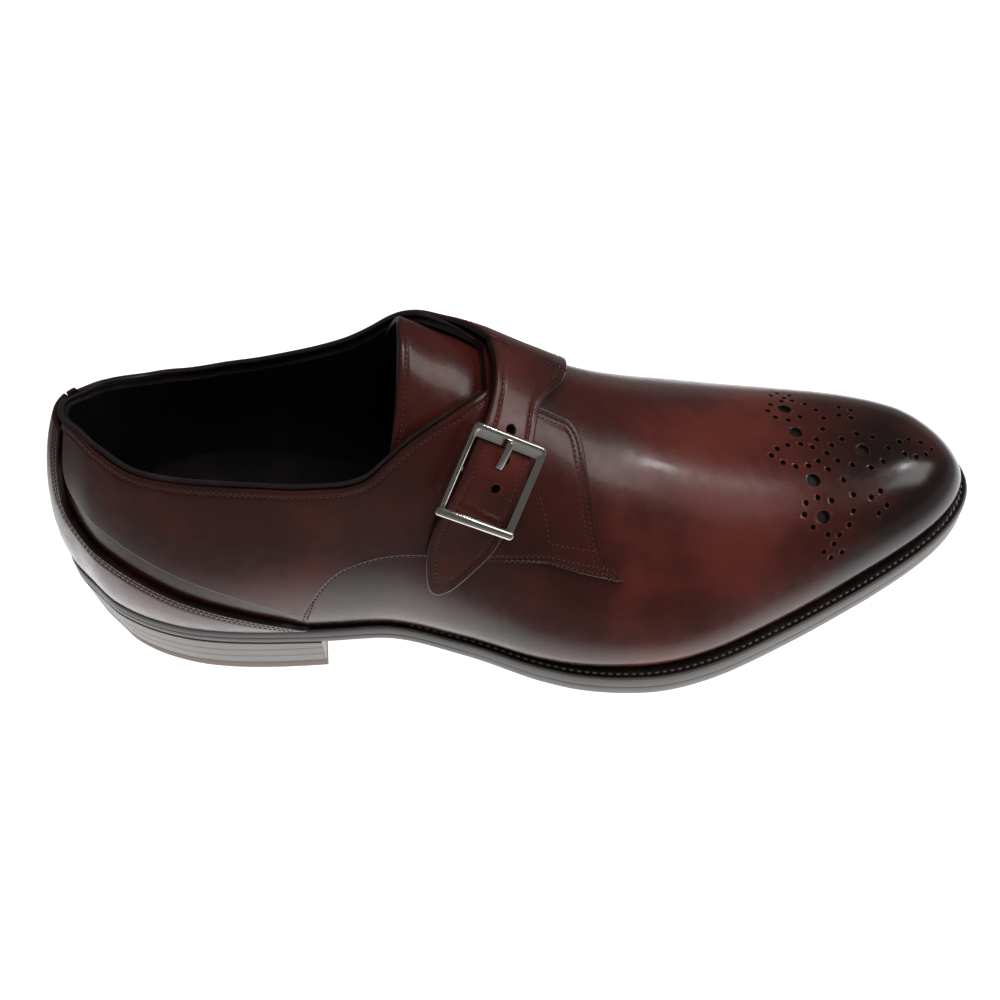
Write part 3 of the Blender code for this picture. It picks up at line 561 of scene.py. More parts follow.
def patina_group():
    """Hand-dyed leather: cloudy patches and brush strokes between three colours."""
    group, given, result = socket_group(
        "patina", {"Light": WHITE, "Middle": WHITE, "Dark": WHITE, "Tone": 0.5,
                   "Cloud Size": 32.0, "Stroke Amount": 0.07}, ("Color",))
    spot = own_place(group)
    cloud = noise(group, spot, Scale=given["Cloud Size"], Detail=3.0, Roughness=0.55)
    brushed = node(group, "ShaderNodeMapping", Vector=spot, Rotation=(0.2, 0.35, 0.6),
                   Scale=(150.0, 40.0, 40.0)).outputs["Vector"]
    stroke = worked(group, "SUBTRACT", noise(group, brushed, Scale=1.0, Detail=2.0), 0.5)
    centred = worked(group, "MULTIPLY_ADD", cloud, 1.5, -0.75)
    weighed = worked(group, "MULTIPLY_ADD", stroke, given["Stroke Amount"], centred)
    total = worked(group, "ADD", weighed, given["Tone"], use_clamp=True)
    low = ranged(group, total, high=0.5, kind="SMOOTHSTEP")
    high = ranged(group, total, low=0.45, kind="SMOOTHSTEP")
    first = mixed(group, low, given["Light"], given["Middle"])
    put(group, result["Color"], mixed(group, high, first, given["Dark"]))
    return group


def grain_group():
    """Fine leather grain with a few softer dents, as a height."""
    group, given, result = socket_group(
        "leather_grain", {"Pore Size": 2600.0, "Dent Size": 240.0, "Dent Amount": 0.6},
        ("Height", "Gloss"))
    spot = own_place(group)
    pores = node(group, "ShaderNodeTexVoronoi", feature="SMOOTH_F1", Vector=spot,
                 Scale=given["Pore Size"], Smoothness=0.35).outputs["Distance"]
    fine = noise(group, spot, Scale=5200.0, Detail=1.0)
    dents = noise(group, spot, Scale=given["Dent Size"], Detail=2.0)
    deep = worked(group, "MULTIPLY", dents, given["Dent Amount"])
    crisp = worked(group, "MULTIPLY_ADD", pores, 0.5, deep)
    put(group, result["Height"], worked(group, "MULTIPLY_ADD", fine, 0.35, crisp))
    put(group, result["Gloss"], dents)
    return group


def layer_group():
    """Thin lines of pressed leather along the height, with faint wear."""
    group, given, result = socket_group(
        "pressed_layers", {"Colour": WHITE, "Line Pitch": 900.0, "Line Amount": 0.2,
                           "Wear": 0.25}, ("Color", "Height"))
    spot = own_place(group)
    stretched = node(group, "ShaderNodeMapping", Vector=spot, Scale=(18.0, 18.0, 1.0))
    x, y, z = node(group, "ShaderNodeSeparateXYZ", stretched.outputs["Vector"]).outputs
    flat = node(group, "ShaderNodeCombineXYZ", x, y,
                worked(group, "MULTIPLY", z, given["Line Pitch"]))
    lines = noise(group, flat.outputs["Vector"], Scale=1.0, Detail=2.0, Roughness=0.6)
    worn = noise(group, spot, Scale=70.0, Detail=4.0)
    shade = ranged(group, lines, 0.3, 0.7, 1.0,
                   worked(group, "SUBTRACT", 1.0, given["Line Amount"]))
    wear = ranged(group, worn, 0.35, 0.75, 1.0, worked(group, "SUBTRACT", 1.0, given["Wear"]))
    tint = node(group, "ShaderNodeVectorMath", given["Colour"], operation="SCALE",
                Scale=worked(group, "MULTIPLY", shade, wear))
    put(group, result["Color"], tint.outputs["Vector"])
    put(group, result["Height"], lines)
    return group


def grouped(tree, name, build, **values):
    """The outputs of a node group, which is built on its first use."""
    group = bpy.data.node_groups.get(name) or build()
    return node(tree, "ShaderNodeGroup", node_tree=group, **values).outputs


def patina(tree, light, middle, dark, **values):
    return grouped(tree, "patina", patina_group, Light=light, Middle=middle, Dark=dark,
                   **values)["Color"]


def grain(tree, **values):
    return grouped(tree, "leather_grain", grain_group, **values)


def new_material(name, roughness, **values):
    """A material with values on its shader's own sockets."""
    material = bpy.data.materials.new(name)
    material.use_nodes = True
    shader = material.node_tree.nodes["Principled BSDF"]
    dress(material.node_tree, shader, Roughness=roughness, **values)
    return material, material.node_tree, shader


def made_once(build):
    """A material is built on its first use, and found by its name after that."""
    def find(name, *details):
        return bpy.data.materials.get(name) or build(name, *details)
    return find


@made_once
def dyed_leather(name):
    """Polished leather, darker where its tone attribute is high."""
    colours = bpy.context.scene.shoe_colours
    material, tree, shader = new_material(
        name, 0.30, Coat_Weight=0.18, Coat_Roughness=0.10, Coat_IOR=1.5, IOR=1.47)
    tone = node(tree, "ShaderNodeAttribute", attribute_name="tone").outputs["Fac"]
    skin = grain(tree)
    gloss = ranged(tree, skin["Gloss"], 0.3, 0.7, 0.21, 0.31)
    waxed = ranged(tree, tone, 0.75, 0.98, 1.0, 0.6, "SMOOTHSTEP")
    dress(tree, shader,
          Base_Color=patina(tree, rgba(colours.leather_light), rgba(colours.leather_mid),
                            rgba(colours.leather_dark), Tone=tone),
          Roughness=worked(tree, "MULTIPLY", gloss, waxed),
          Normal=bump(tree, skin["Height"], 0.00003))
    return material


@made_once
def inked_leather(name, roughness=0.34, dim=1.0):
    """Dark dressed leather, for cut edges, binding and welt."""
    ink = bpy.context.scene.shoe_colours.edge_ink
    material, tree, shader = new_material(name, roughness, Coat_Weight=0.25, Coat_Roughness=0.2)
    dress(tree, shader,
          Base_Color=patina(tree, rgba(ink, 2.0 * dim), rgba(ink, dim), rgba(ink, 0.6 * dim),
                            Tone=0.4, Cloud_Size=120.0),
          Normal=bump(tree, grain(tree, Pore_Size=2200.0)["Height"], 0.00004))
    return material


@made_once
def lining_leather(name):
    """The matt lining."""
    black = bpy.context.scene.shoe_colours.lining
    material, tree, shader = new_material(name, 0.55)
    skin = grain(tree, Pore_Size=1500.0, Dent_Amount=0.3)
    dress(tree, shader,
          Base_Color=patina(tree, rgba(black, 1.7), rgba(black), rgba(black, 0.6), Tone=0.45,
                            Cloud_Size=50.0),
          Normal=bump(tree, skin["Height"], 0.00008))
    return material


@made_once
def layered_leather(name, colour, roughness, pitch, amount, wear):
    """The dressed edges of sole and heel, with the lines of their layers."""
    material, tree, shader = new_material(name, roughness, Coat_Weight=0.1, Coat_Roughness=0.3)
    layers = grouped(tree, "pressed_layers", layer_group, Colour=rgba(colour),
                     Line_Pitch=pitch, Line_Amount=amount, Wear=wear)
    dress(tree, shader, Base_Color=layers["Color"], Normal=bump(tree, layers["Height"], 0.00006))
    return material


@made_once
def thread_material(name, colour):
    """Twisted thread."""
    material, tree, shader = new_material(name, 0.5)
    twist = noise(tree, own_place(tree), Scale=3000.0, Detail=2.0)
    dress(tree, shader, Base_Color=mixed(tree, twist, rgba(colour, 0.7), rgba(colour, 1.35)),
          Normal=bump(tree, twist, 0.00005))
    return material


@made_once
def buckle_metal(name):
    """Polished nickel with faint hairlines and smudges."""
    nickel = bpy.context.scene.shoe_colours.metal
    material, tree, shader = new_material(name, 0.12, Metallic=1.0)
    spot = own_place(tree)
    smudge = noise(tree, spot, Scale=260.0, Detail=3.0)
    hairs = noise(tree, spot, Scale=4200.0, Detail=1.0)
    dress(tree, shader, Base_Color=mixed(tree, smudge, rgba(nickel), rgba(nickel, 0.82)),
          Roughness=ranged(tree, smudge, 0.35, 0.75, 0.09, 0.2),
          Normal=bump(tree, hairs, 0.000004))
    return material


# Mesh helpers


def placed(name, data):
    """A new object in the scene, at the origin."""
    thing = bpy.data.objects.new(name, data)
    bpy.context.scene.collection.objects.link(thing)
    return thing


def new_piece(name, vertices, faces, slots, face_slots=None, attributes=None, angle=40.0):
    """A closed mesh piece at the origin, with its faces turned out."""
    mesh = bpy.data.meshes.new(name)
    mesh.from_pydata([tuple(v) for v in vertices], [], [tuple(f) for f in faces])
    for material in slots:
        mesh.materials.append(material)
    if face_slots is not None:
        mesh.polygons.foreach_set("material_index", np.asarray(face_slots, dtype=np.int32))
    for key, values in (attributes or {}).items():
        made = mesh.attributes.new(key, "FLOAT", "POINT")
        made.data.foreach_set("value", np.asarray(values, dtype=np.float32))
    work = bmesh.new()
    work.from_mesh(mesh)
    loose = [v for v in work.verts if not v.link_faces]
    bmesh.ops.delete(work, geom=loose, context="VERTS")
    bmesh.ops.recalc_face_normals(work, faces=work.faces)
    work.to_mesh(mesh)
    work.free()
    mesh.shade_smooth()
    mesh.set_sharp_from_angle(angle=radians(angle))
    return placed(name, mesh)


def hand_over(thing, slot, *nodes):
    """The piece rides on the shoe and stands for its solids."""
    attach(thing, "root")
    if nodes:
        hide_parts(*nodes)


def grid_faces(first, shapes):
    """Quads of several grids, on vertices that are joined where they meet."""
    faces = []
    start = 0
    for rows, columns in shapes:
        index = first[start + np.arange(rows * columns)].reshape(rows, columns)
        quads = np.stack([index[:-1, :-1], index[:-1, 1:], index[1:, 1:], index[1:, :-1]], axis=-1)
        for quad in quads.reshape(-1, 4).tolist():
            loop = list(dict.fromkeys(quad))
            if len(loop) > 2:
                faces.append(loop)
        start += rows * columns
    return faces


def tube_faces(rings, count, closed=False):
    """Quads between rings of count points each; a tube that isn't closed gets flat ends."""
    faces = []
    for i in range(rings if closed else rings - 1):
        k = (i + 1) % rings
        for j in range(count):
            m = (j + 1) % count
            faces.append((i * count + j, i * count + m, k * count + m, k * count + j))
    if not closed:
        faces.append(tuple(range(count)))
        faces.append(tuple((rings - 1) * count + j for j in range(count)))
    return faces


def rim_edges(faces):
    """The edges that only one face uses, in the direction of that face."""
    used = {}
    for loop in faces:
        for a, b in zip(loop, loop[1:] + loop[:1]):
            key = (min(a, b), max(a, b))
            used[key] = None if key in used else (a, b)
    return [edge for edge in used.values() if edge is not None]


def distance_to(points, samples, reach):
    """For each point its distance to the nearest sample, up to reach."""
    tree = tree_of(samples)
    found = np.array([tree.find(point)[2] for point in points])
    return np.minimum(found, reach)


def along_edges(points, edges, spacing=0.0002):
    """Points along edges, closely spaced."""
    samples = []
    for a, b in edges:
        start = points[a]
        run = points[b] - start
        count = max(1, int(np.ceil(np.linalg.norm(run) / spacing)))
        for i in range(count):
            samples.append(start + run * (i / count))
    return samples


def unit(vectors):
    return vectors / np.maximum(np.linalg.norm(vectors, axis=-1, keepdims=True), 1e-12)


class Sheet:
    """A grid of places on one side of the last, with a floor and a thickness."""

    def __init__(self, side, at, share, floor, thick):
        self.side = side
        self.at, self.share, self.floor, self.thick = np.broadcast_arrays(
            *(np.asarray(v, dtype=float) for v in (at, share, floor, thick)))

    def point(self, level):
        return to_frame(leather(self.side, station(self.at), self.share, level))


def line_on(side, at, share, level):
    """Points and outward directions of a line on the last."""
    at, share, level = np.broadcast_arrays(*(np.asarray(v, dtype=float)
                                             for v in (at, share, level)))
    points = to_frame(leather(side, station(at), share, level))
    over = to_frame(leather(side, station(at), share, level + FINE_SHIFT))
    return points, unit(over - points)


def inset_line(line, inset, centre):
    """The line moved inward over the surface, towards the side on which centre lies."""
    points, normals = line
    tangents = unit(np.gradient(points, axis=0))
    inward = unit(np.cross(normals, tangents))
    middle = len(points) // 2
    towards = np.dot(inward[middle], centre - points[middle])
    return points + inward * (inset * np.sign(towards)), normals


def even_line(points, spacing):
    """The line resampled at an even spacing."""
    steps = np.linalg.norm(np.diff(points, axis=0), axis=1)
    run = np.concatenate([[0.0], np.cumsum(steps)])
    count = max(2, int(run[-1] / spacing))
    wanted = np.linspace(0, run[-1], count)
    return np.stack([np.interp(wanted, run, points[:, k]) for k in range(3)], axis=-1)


# Every sewn route: the piece's name, its points, their outward directions and its depth
SEAMS = []
GROOVE_WIDTH = 0.00045
SEAM_SPACING = 0.0003


def leather_wall(name, sheets, tone, seams=(), rim=True):
    """A leather piece with a lining, rounded cut edges and sewn grooves. Each seam is
    (points, normals), and is moved onto the piece's outer face."""
    sizes = bpy.context.scene.shoe_sizes
    depth = sizes.groove_depth
    slots = [dyed_leather("burgundy_leather"), lining_leather("black_lining"),
             inked_leather("edge_ink")]
    outer = np.concatenate([s.point(s.floor + s.thick).reshape(-1, 3) for s in sheets])
    over = np.concatenate([s.point(s.floor + s.thick + FINE_SHIFT).reshape(-1, 3)
                           for s in sheets])
    inner = np.concatenate([s.point(s.floor).reshape(-1, 3) for s in sheets])
    first = np.array(join_map(outer))
    faces = grid_faces(first, [s.at.shape for s in sheets])
    edges = rim_edges(faces)
    edge_far = distance_to(outer, along_edges(outer, edges), 0.03)
    tree = BVHTree.FromPolygons([tuple(p) for p in outer], faces)
    up = unit(over - outer)
    nearest = tree_of(outer)
    routes = []
    for points, _ in seams:
        route = [tree.find_nearest(Vector(point))[0] for point in even_line(points, SEAM_SPACING)]
        ups = up[[nearest.find(point)[1] for point in route]]
        routes.append((np.array(route), ups))
    drop = np.zeros(len(outer))
    if rim:
        radius = sizes.edge_round
        near = np.clip(1 - edge_far / radius, 0, 1)
        drop = radius * (1 - np.sqrt(1 - near * near))
    if routes:
        sewn = np.concatenate([route for route, _ in routes])
        groove = distance_to(outer, sewn, 0.01)
        drop = drop + depth * np.exp(-(groove / GROOVE_WIDTH) ** 2)
    outer = outer - up * drop[:, None]
    SEAMS.extend((name, route, ups, depth) for route, ups in routes)
    twin = len(outer)
    closed = list(faces)
    closed += [[i + twin for i in reversed(loop)] for loop in faces]
    closed += [[a, b, b + twin, a + twin] for a, b in edges]
    face_slots = [0] * len(faces) + [1] * len(faces) + [2] * len(edges)
    vertices = np.concatenate([outer, inner])
    shade = tone(outer, edge_far)
    return new_piece(name, vertices, closed, slots, face_slots,
                     {"tone": np.concatenate([shade, shade])})


def rim_shares(length, count, start=True, end=True):
    """Steps from 0 to 1 over a length, with the rim's lines at the ends that are edges."""
    near = np.array(RIM_LINES) / length
    low = near if start else np.array([0.0])
    high = 1 - near[::-1] if end else np.array([1.0])
    inner = np.linspace(low[-1], high[0], max(count, 2) + 1)[1:-1]
    return np.concatenate([low, inner, high])


def fill(bottom, top, left, right, u, v):
    """A smooth grid between four border lines, each a function of a share along it."""
    lower, upper = bottom(u), top(u)
    start, end = left(v), right(v)
    corners = (bottom(np.zeros(1))[0], bottom(np.ones(1))[0], top(np.zeros(1))[0],
               top(np.ones(1))[0])
    u = u[..., None]
    v = v[..., None]
    flat = ((1 - u) * (1 - v) * corners[0] + u * (1 - v) * corners[1]
            + (1 - u) * v * corners[2] + u * v * corners[3])
    return (1 - v) * lower + v * upper + (1 - u) * start + u * end - flat


def by_length(side, at, share, level=0.0):
    """A border line as a function of the share of its length: (turn, share) pairs."""
    points, _ = line_on(side, at, share, level)
    steps = np.linalg.norm(np.diff(points, axis=0), axis=1)
    run = np.concatenate([[0.0], np.cumsum(steps)])
    run = run / run[-1]
    turns = station(at)

    def border(t):
        return np.stack([np.interp(t, run, turns), np.interp(t, run, share)], axis=-1)
    return border


def soft(low, high, x):
    t = np.clip((np.asarray(x) - low) / (high - low), 0, 1)
    return t * t * (3 - 2 * t)


# Leather pieces


def burnish_and_painted_shade(base, toe=0.0, rim=0.3, back=0.0, patches=()):
    """How dark the leather is drawn: darker dye at the cut edges and at the toe, darker near the
    sole, and shifted in patches and by back behind x = 0.145, which on the vamp is painted shade
    along the quarters' front edges, partly darker dye. Each patch is (x, y, z, radius, amount)."""
    def tone(points, edge_far):
        x, z = points[:, 0], points[:, 2]
        above = z - sole_top(np.clip((x + HEEL_LENGTH / 2) / LENGTH, 0, 1))
        value = base + rim * np.exp(-edge_far / 0.0022) + 0.30 * np.exp(-above / 0.007)
        # back shifts the tone behind x = 0.145; on the vamp this is painted shade along the
        # quarters' front edges, partly darker dye
        value = value + toe * soft(0.176, 0.232, x) + back * soft(0.145, 0.112, x)
        for px, py, pz, radius, amount in patches:
            far = np.linalg.norm(points - np.array([px, py, pz]), axis=1)
            value = value + amount * np.exp(-(far / radius) ** 2)
        return value
    return tone


def make_upper():
    """Vamp and body: one wall from the toe to the heel, open at the collar."""
    turns = np.linspace(0, 1, BODY_COLUMNS)
    ats = np.unique(np.concatenate([place(turns), [THROAT, THROAT + THROAT_RUN]]))
    sheets = []
    for side in (-1, 1):
        top = np.where(ats <= THROAT, collar_share(side, ats) - BODY_BACK, 1.0)
        rows = np.linspace(0, 1, BODY_ROWS)[:, None]
        sheets.append(Sheet(side, ats[None, :], rows * top[None, :], -WALL, WALL))
    # back darkens the vamp towards the quarters' front edges: painted shade from those edges,
    # partly darker dye
    tone = burnish_and_painted_shade(0.20, toe=0.75, rim=0.0, back=0.35,
                   patches=((0.150, -0.03, 0.035, 0.030, -0.10),
                            (0.195, -0.045, 0.020, 0.025, 0.18)))
    return leather_wall("upper_leather", sheets, tone, rim=False)


def quarter_fill(side, back, low_end, high_end, front, throat_share):
    """The four borders of a quarter, as (turn, share) functions."""
    start = station(back)

    def bottom(u):
        turn = start + (station(low_end) - start) * u
        at = place(turn)
        low = np.minimum(low_edge(side, at), column(front, "share", low_end))
        return np.stack([turn, np.where(u >= 1, column(front, "share", low_end), low)], axis=-1)

    def top(u):
        turn = start + (station(high_end) - start) * u
        at = place(turn)
        share = np.where(at < THROAT, collar_share(side, at), throat_share(at))
        return np.stack([turn, share], axis=-1)

    def left(v):
        low = low_edge(side, back)
        high = collar_share(side, back)
        return np.stack([start + 0 * v, low + (high - low) * v], axis=-1)

    ats = np.linspace(low_end, high_end, 500)
    right = by_length(side, ats, column(front, "share", ats))
    return bottom, top, left, right


def quarter_grid(side, borders, u, rows):
    """The (at, share) grid of a quarter, with lines along its upper and lower rims."""
    probe_u, probe_v = np.meshgrid(u, np.linspace(0, 1, 24))
    probe = fill(*borders, probe_u, probe_v)
    points = leather(side, probe[..., 0], probe[..., 1])
    heights = np.linalg.norm(np.diff(points, axis=0), axis=-1).sum(axis=0)
    v = np.stack([rim_shares(max(height, 0.0125), rows) for height in heights], axis=1)
    grid = fill(*borders, np.broadcast_to(u[None, :], v.shape), v)
    return place(grid[..., 0]), grid[..., 1]


def front_steps(length, count, extra=()):
    """Columns from the back seam to the front edge, closer at the front edge."""
    steps = rim_shares(length, count, start=False)
    return np.unique(np.concatenate([steps, np.asarray(extra, dtype=float)]))


QUARTER_LEVEL = LAP_GAP + QUARTER_THICK
SEAM_ROWS = (0.0017, 0.0034)
COLLAR_SEAM = 0.0022
COLLAR_SEAM_SPAN = (0.018, 0.452)
# Where the lateral quarter's front edge turns down, and where the front seam ends
FRONT_TOP = 0.530
FRONT_SEAM_END = 0.573
STRAP_SEAM = 0.0027
STRAP_SEAM_SPAN = (0.03, 0.955)
COUNTER_SEAMS = (0.0016, 0.0032)
# The strap's rounded tip: the share of the strap that it takes, and how blunt it is
TIP_ROUND = 0.035
TIP_BLUNT = 0.97


def quarter_line(side, rows, name, start, end, count=300):
    """The line through one column of a table, on a quarter's outer face."""
    at = np.linspace(start, end, count)
    return line_on(side, at, column(rows, name, at), QUARTER_LEVEL)


def quarter_seams(front, hem, collar, centre):
    """Two rows along the front edge and the hem, and one below the collar."""
    return [inset_line(line, inset, centre)
            for line, insets in ((front, SEAM_ROWS), (hem, SEAM_ROWS), (collar, (COLLAR_SEAM,)))
            for inset in insets]


def middle_of(sheet, level):
    return sheet.point(level)[sheet.at.shape[0] // 2, sheet.at.shape[1] // 2]


# The short seam beside the strap on the lateral quarter, in even steps
FACING = table(
    "at share",
    (0.546, 0.488), (0.524, 0.481), (0.502, 0.475), (0.5015, 0.480), (0.5005, 0.515),
    (0.498, 0.559), (0.494, 0.595))


def make_quarter_lateral():
    """The lateral quarter, which lies under the strap and the buckle."""
    low_at = FRONT_LATERAL[-1].at
    high_at = FRONT_TOP
    borders = quarter_fill(-1, BACK_SEAM, low_at, high_at, FRONT_LATERAL,
                           lambda at: column(FRONT_LATERAL, "share", at))
    u = front_steps(0.165, 150)
    at, share = quarter_grid(-1, borders, u, 44)
    sheet = Sheet(-1, at, share, LAP_GAP, QUARTER_THICK)
    front_at = np.concatenate([np.linspace(0.460, FRONT_TOP, 60),
                               np.linspace(FRONT_TOP + 0.0001, FRONT_SEAM_END, 300)])
    front = line_on(-1, front_at, column(FRONT_LATERAL, "share", front_at), QUARTER_LEVEL)
    hem = quarter_line(-1, HEM, "lateral", 0.262, 0.562)
    collar = quarter_line(-1, COLLAR, "lateral", *COLLAR_SEAM_SPAN)
    steps = np.linspace(0, 1, len(FACING))
    fine = np.linspace(0, 1, 120)
    facing = line_on(-1, *(np.interp(fine, steps, values) for values in zip(*FACING)),
                     QUARTER_LEVEL)
    seams = quarter_seams(front, hem, collar, middle_of(sheet, LAP_GAP)) + [facing]
    tone = burnish_and_painted_shade(0.55, back=-0.12,
                   patches=((0.035, -0.036, 0.045, 0.020, -0.22),
                            (0.118, -0.046, 0.045, 0.016, -0.24),
                            (0.075, -0.038, 0.070, 0.025, 0.22)))
    return leather_wall("quarter_lateral_leather", [sheet], tone, seams)


def strap_column(what, runs):
    """A column of the strap's table, eased towards the tip so that its outline is round."""
    spread = TIP_ROUND * soft(0.5, 0.75, runs)
    return np.mean([column(STRAP, what, np.clip(runs + spread * k, 0, 1))
                    for k in np.linspace(-1, 1, 9)], axis=0)


def strap_grid(parts, rows):
    """The strap from the ridge to its tip; parts runs across it from back to front."""
    runs = rim_shares(0.100, rows, start=False)

    def edge(which, what):
        return strap_column(which + "_" + what, runs)[:, None]

    blunt = TIP_BLUNT * np.clip((runs - 1 + TIP_ROUND) / TIP_ROUND, 0, 1)
    parts = 0.5 + (parts - 0.5) * np.sqrt(1 - blunt * blunt)[:, None]
    at = edge("back", "at") + (edge("front", "at") - edge("back", "at")) * parts
    share = edge("back", "share") + (edge("front", "share") - edge("back", "share")) * parts
    lift = column(STRAP, "lift", runs)[:, None] * STRAP_THICK
    return Sheet(-1, at, share, lift, STRAP_THICK)


def strap_edge(which, count=300):
    """The stretch of one of the strap's edges that is sewn, on its outer face."""
    runs = np.linspace(*STRAP_SEAM_SPAN, count)
    lift = column(STRAP, "lift", runs) * STRAP_THICK
    return line_on(-1, strap_column(which + "_at", runs), strap_column(which + "_share", runs),
                   lift + STRAP_THICK)


def make_quarter_medial():
    """The medial quarter, which runs on over the ridge as the strap."""
    low_at = FRONT_MEDIAL[-1].at
    borders = quarter_fill(1, BACK_SEAM, low_at, STRAP_FRONT, FRONT_MEDIAL,
                           lambda at: np.ones_like(at))
    length = 0.170
    start = station(BACK_SEAM)
    throat_u = (station(THROAT) - start) / (station(STRAP_FRONT) - start)
    rims = throat_u + np.array(RIM_LINES) / length
    u = front_steps(length, 150, rims)
    u = u[np.concatenate([[True], np.diff(u) > 1e-6])]
    at, share = quarter_grid(1, borders, u, 44)
    across = at[-1] >= THROAT - 1e-9
    parts = (at[-1][across] - THROAT) / (STRAP_FRONT - THROAT)
    rise = soft(RISE_START, 1.0, share)
    rise = rise * np.clip((at - RISE_BACK) / (THROAT - RISE_BACK), 0, 1)
    floor = LAP_GAP + (STRAP[0].lift * STRAP_THICK - LAP_GAP) * rise
    thick = QUARTER_THICK + (STRAP_THICK - QUARTER_THICK) * rise
    quarter = Sheet(1, at, share, floor, thick)
    strap = strap_grid(parts[None, :], 110)
    front = quarter_line(1, FRONT_MEDIAL, "share", 0.5345, 0.566)
    hem = quarter_line(1, HEM, "medial", 0.262, 0.548)
    collar = quarter_line(1, COLLAR, "medial", *COLLAR_SEAM_SPAN)
    seams = quarter_seams(front, hem, collar, middle_of(quarter, LAP_GAP))
    seams += [inset_line(strap_edge(which), STRAP_SEAM, middle_of(strap, strap.floor))
              for which in ("back", "front")]
    tone = burnish_and_painted_shade(0.38, patches=((0.035, 0.036, 0.045, 0.025, -0.12),
                                  (0.100, -0.022, 0.098, 0.020, -0.14),
                                  (0.085, -0.050, 0.040, 0.020, -0.10)))
    return leather_wall("quarter_medial_strap_leather", [quarter, strap], tone, seams)


def make_counter():
    """The counter: an upright at the back and a curved wing on each side."""
    ats = np.unique(np.concatenate([place(np.linspace(0, station(0.035), 70)),
                                    place(np.linspace(station(0.035), station(COUNTER_END), 70))]))
    top = column(COUNTER, "share", ats)
    sheets = []
    for side in (-1, 1):
        probe = leather(side, station(ats)[None, :], np.linspace(0, 1, 12)[:, None] * top[None, :])
        heights = np.linalg.norm(np.diff(probe, axis=0), axis=-1).sum(axis=0)
        v = np.stack([rim_shares(max(h, 0.006), 30, start=False) for h in heights], axis=1)
        sheets.append(Sheet(side, ats[None, :], v * top[None, :], LAP_GAP, COUNTER_THICK))
    seams = []
    for side in (-1, 1):
        at = np.concatenate([np.linspace(0.0118, 0.035, 160), np.linspace(0.036, 0.244, 160)])
        edge = line_on(side, at, column(COUNTER, "share", at), LAP_GAP + COUNTER_THICK)
        low = sheets[0 if side < 0 else 1].point(LAP_GAP)[2, 60]
        seams += [inset_line(edge, inset, low) for inset in COUNTER_SEAMS]
    tone = burnish_and_painted_shade(0.28, rim=0.45, patches=((-0.03, 0.0, 0.035, 0.02, -0.1),))
    return leather_wall("counter_leather", sheets, tone, seams)


def make_tongue():
    """The tongue, with one seam below its rounded top edge."""
    v = rim_shares(0.040, 30, end=False)[:, None]
    shares = TONGUE_SIDE + (1 - TONGUE_SIDE) * v
    swing = np.sin(v * pi / 2)
    top = TONGUE_CORNER + (TONGUE_TOP - TONGUE_CORNER) * swing
    steps = rim_shares(0.045, 60, end=False)[None, :]
    ats = top + (TONGUE_FOOT - top) * steps
    level = -(WALL + LINING_GAP)
    sheets = [Sheet(side, ats, shares, level - TONGUE_THICK, TONGUE_THICK) for side in (-1, 1)]
    seams = []
    for side in (-1, 1):
        run = np.linspace(0.04, 1, 200)
        edge_at = TONGUE_CORNER + (TONGUE_TOP - TONGUE_CORNER) * np.sin(run * pi / 2)
        edge = line_on(side, edge_at, TONGUE_SIDE + (1 - TONGUE_SIDE) * run, level)
        seams.append(inset_line(edge, 0.0022, sheets[0].point(level)[30, 40]))
    return leather_wall("tongue_leather", sheets, burnish_and_painted_shade(0.42, rim=0.2), seams)


# The binding's half sizes as shares of BINDING_RADIUS, how far it dips at the heel, and how
# far it runs on past its solid
BINDING_ACROSS = 0.68
BINDING_TALL = 0.52
BINDING_DIP = 0.0016
BINDING_RUN_ON = 0.022


def make_binding():
    """The rolled edge above the collar's rim."""
    ats = place(np.linspace(0.0, station(BINDING_END + BINDING_RUN_ON), 330))
    sides = []
    for side in (-1, 1):
        share = collar_share(side, ats)
        base = leather(side, station(ats), share, BINDING_LEVEL)
        up = unit(leather(side, station(ats), share + 0.01, BINDING_LEVEL) - base)
        out = unit(leather(side, station(ats), share, BINDING_LEVEL + 0.001) - base)
        dip = BINDING_DIP * (1 - soft(0.02, 0.07, ats))
        rise = BINDING_RADIUS * BINDING_TALL + BINDING_GAP * 0.3 - dip
        sides.append((to_frame(base + up * rise[:, None]), up, out))
    route, ups, outs = (np.concatenate([a[::-1], b[1:]]) for a, b in zip(*sides))
    segments = 16
    angles = np.linspace(0, 2 * pi, segments, endpoint=False)
    across, tall = BINDING_RADIUS * BINDING_ACROSS, BINDING_RADIUS * BINDING_TALL
    for _ in range(6):
        route[1:-1] = (route[:-2] + 2 * route[1:-1] + route[2:]) / 4
    run = np.minimum(np.arange(len(route)), np.arange(len(route))[::-1])
    size = 0.35 + 0.65 * soft(0, 24, run)[:, None, None]
    rings = (route[:, None] + size * (outs[:, None] * (np.cos(angles) * across)[None, :, None]
                                      + ups[:, None] * (np.sin(angles) * tall)[None, :, None]))
    vertices = rings.reshape(-1, 3)
    return new_piece("collar_binding_leather", vertices, tube_faces(len(route), segments),
                     [inked_leather("binding_ink", 0.30, 1.7)],
                     attributes={"tone": np.full(len(vertices), 0.5)})


# Sole pieces


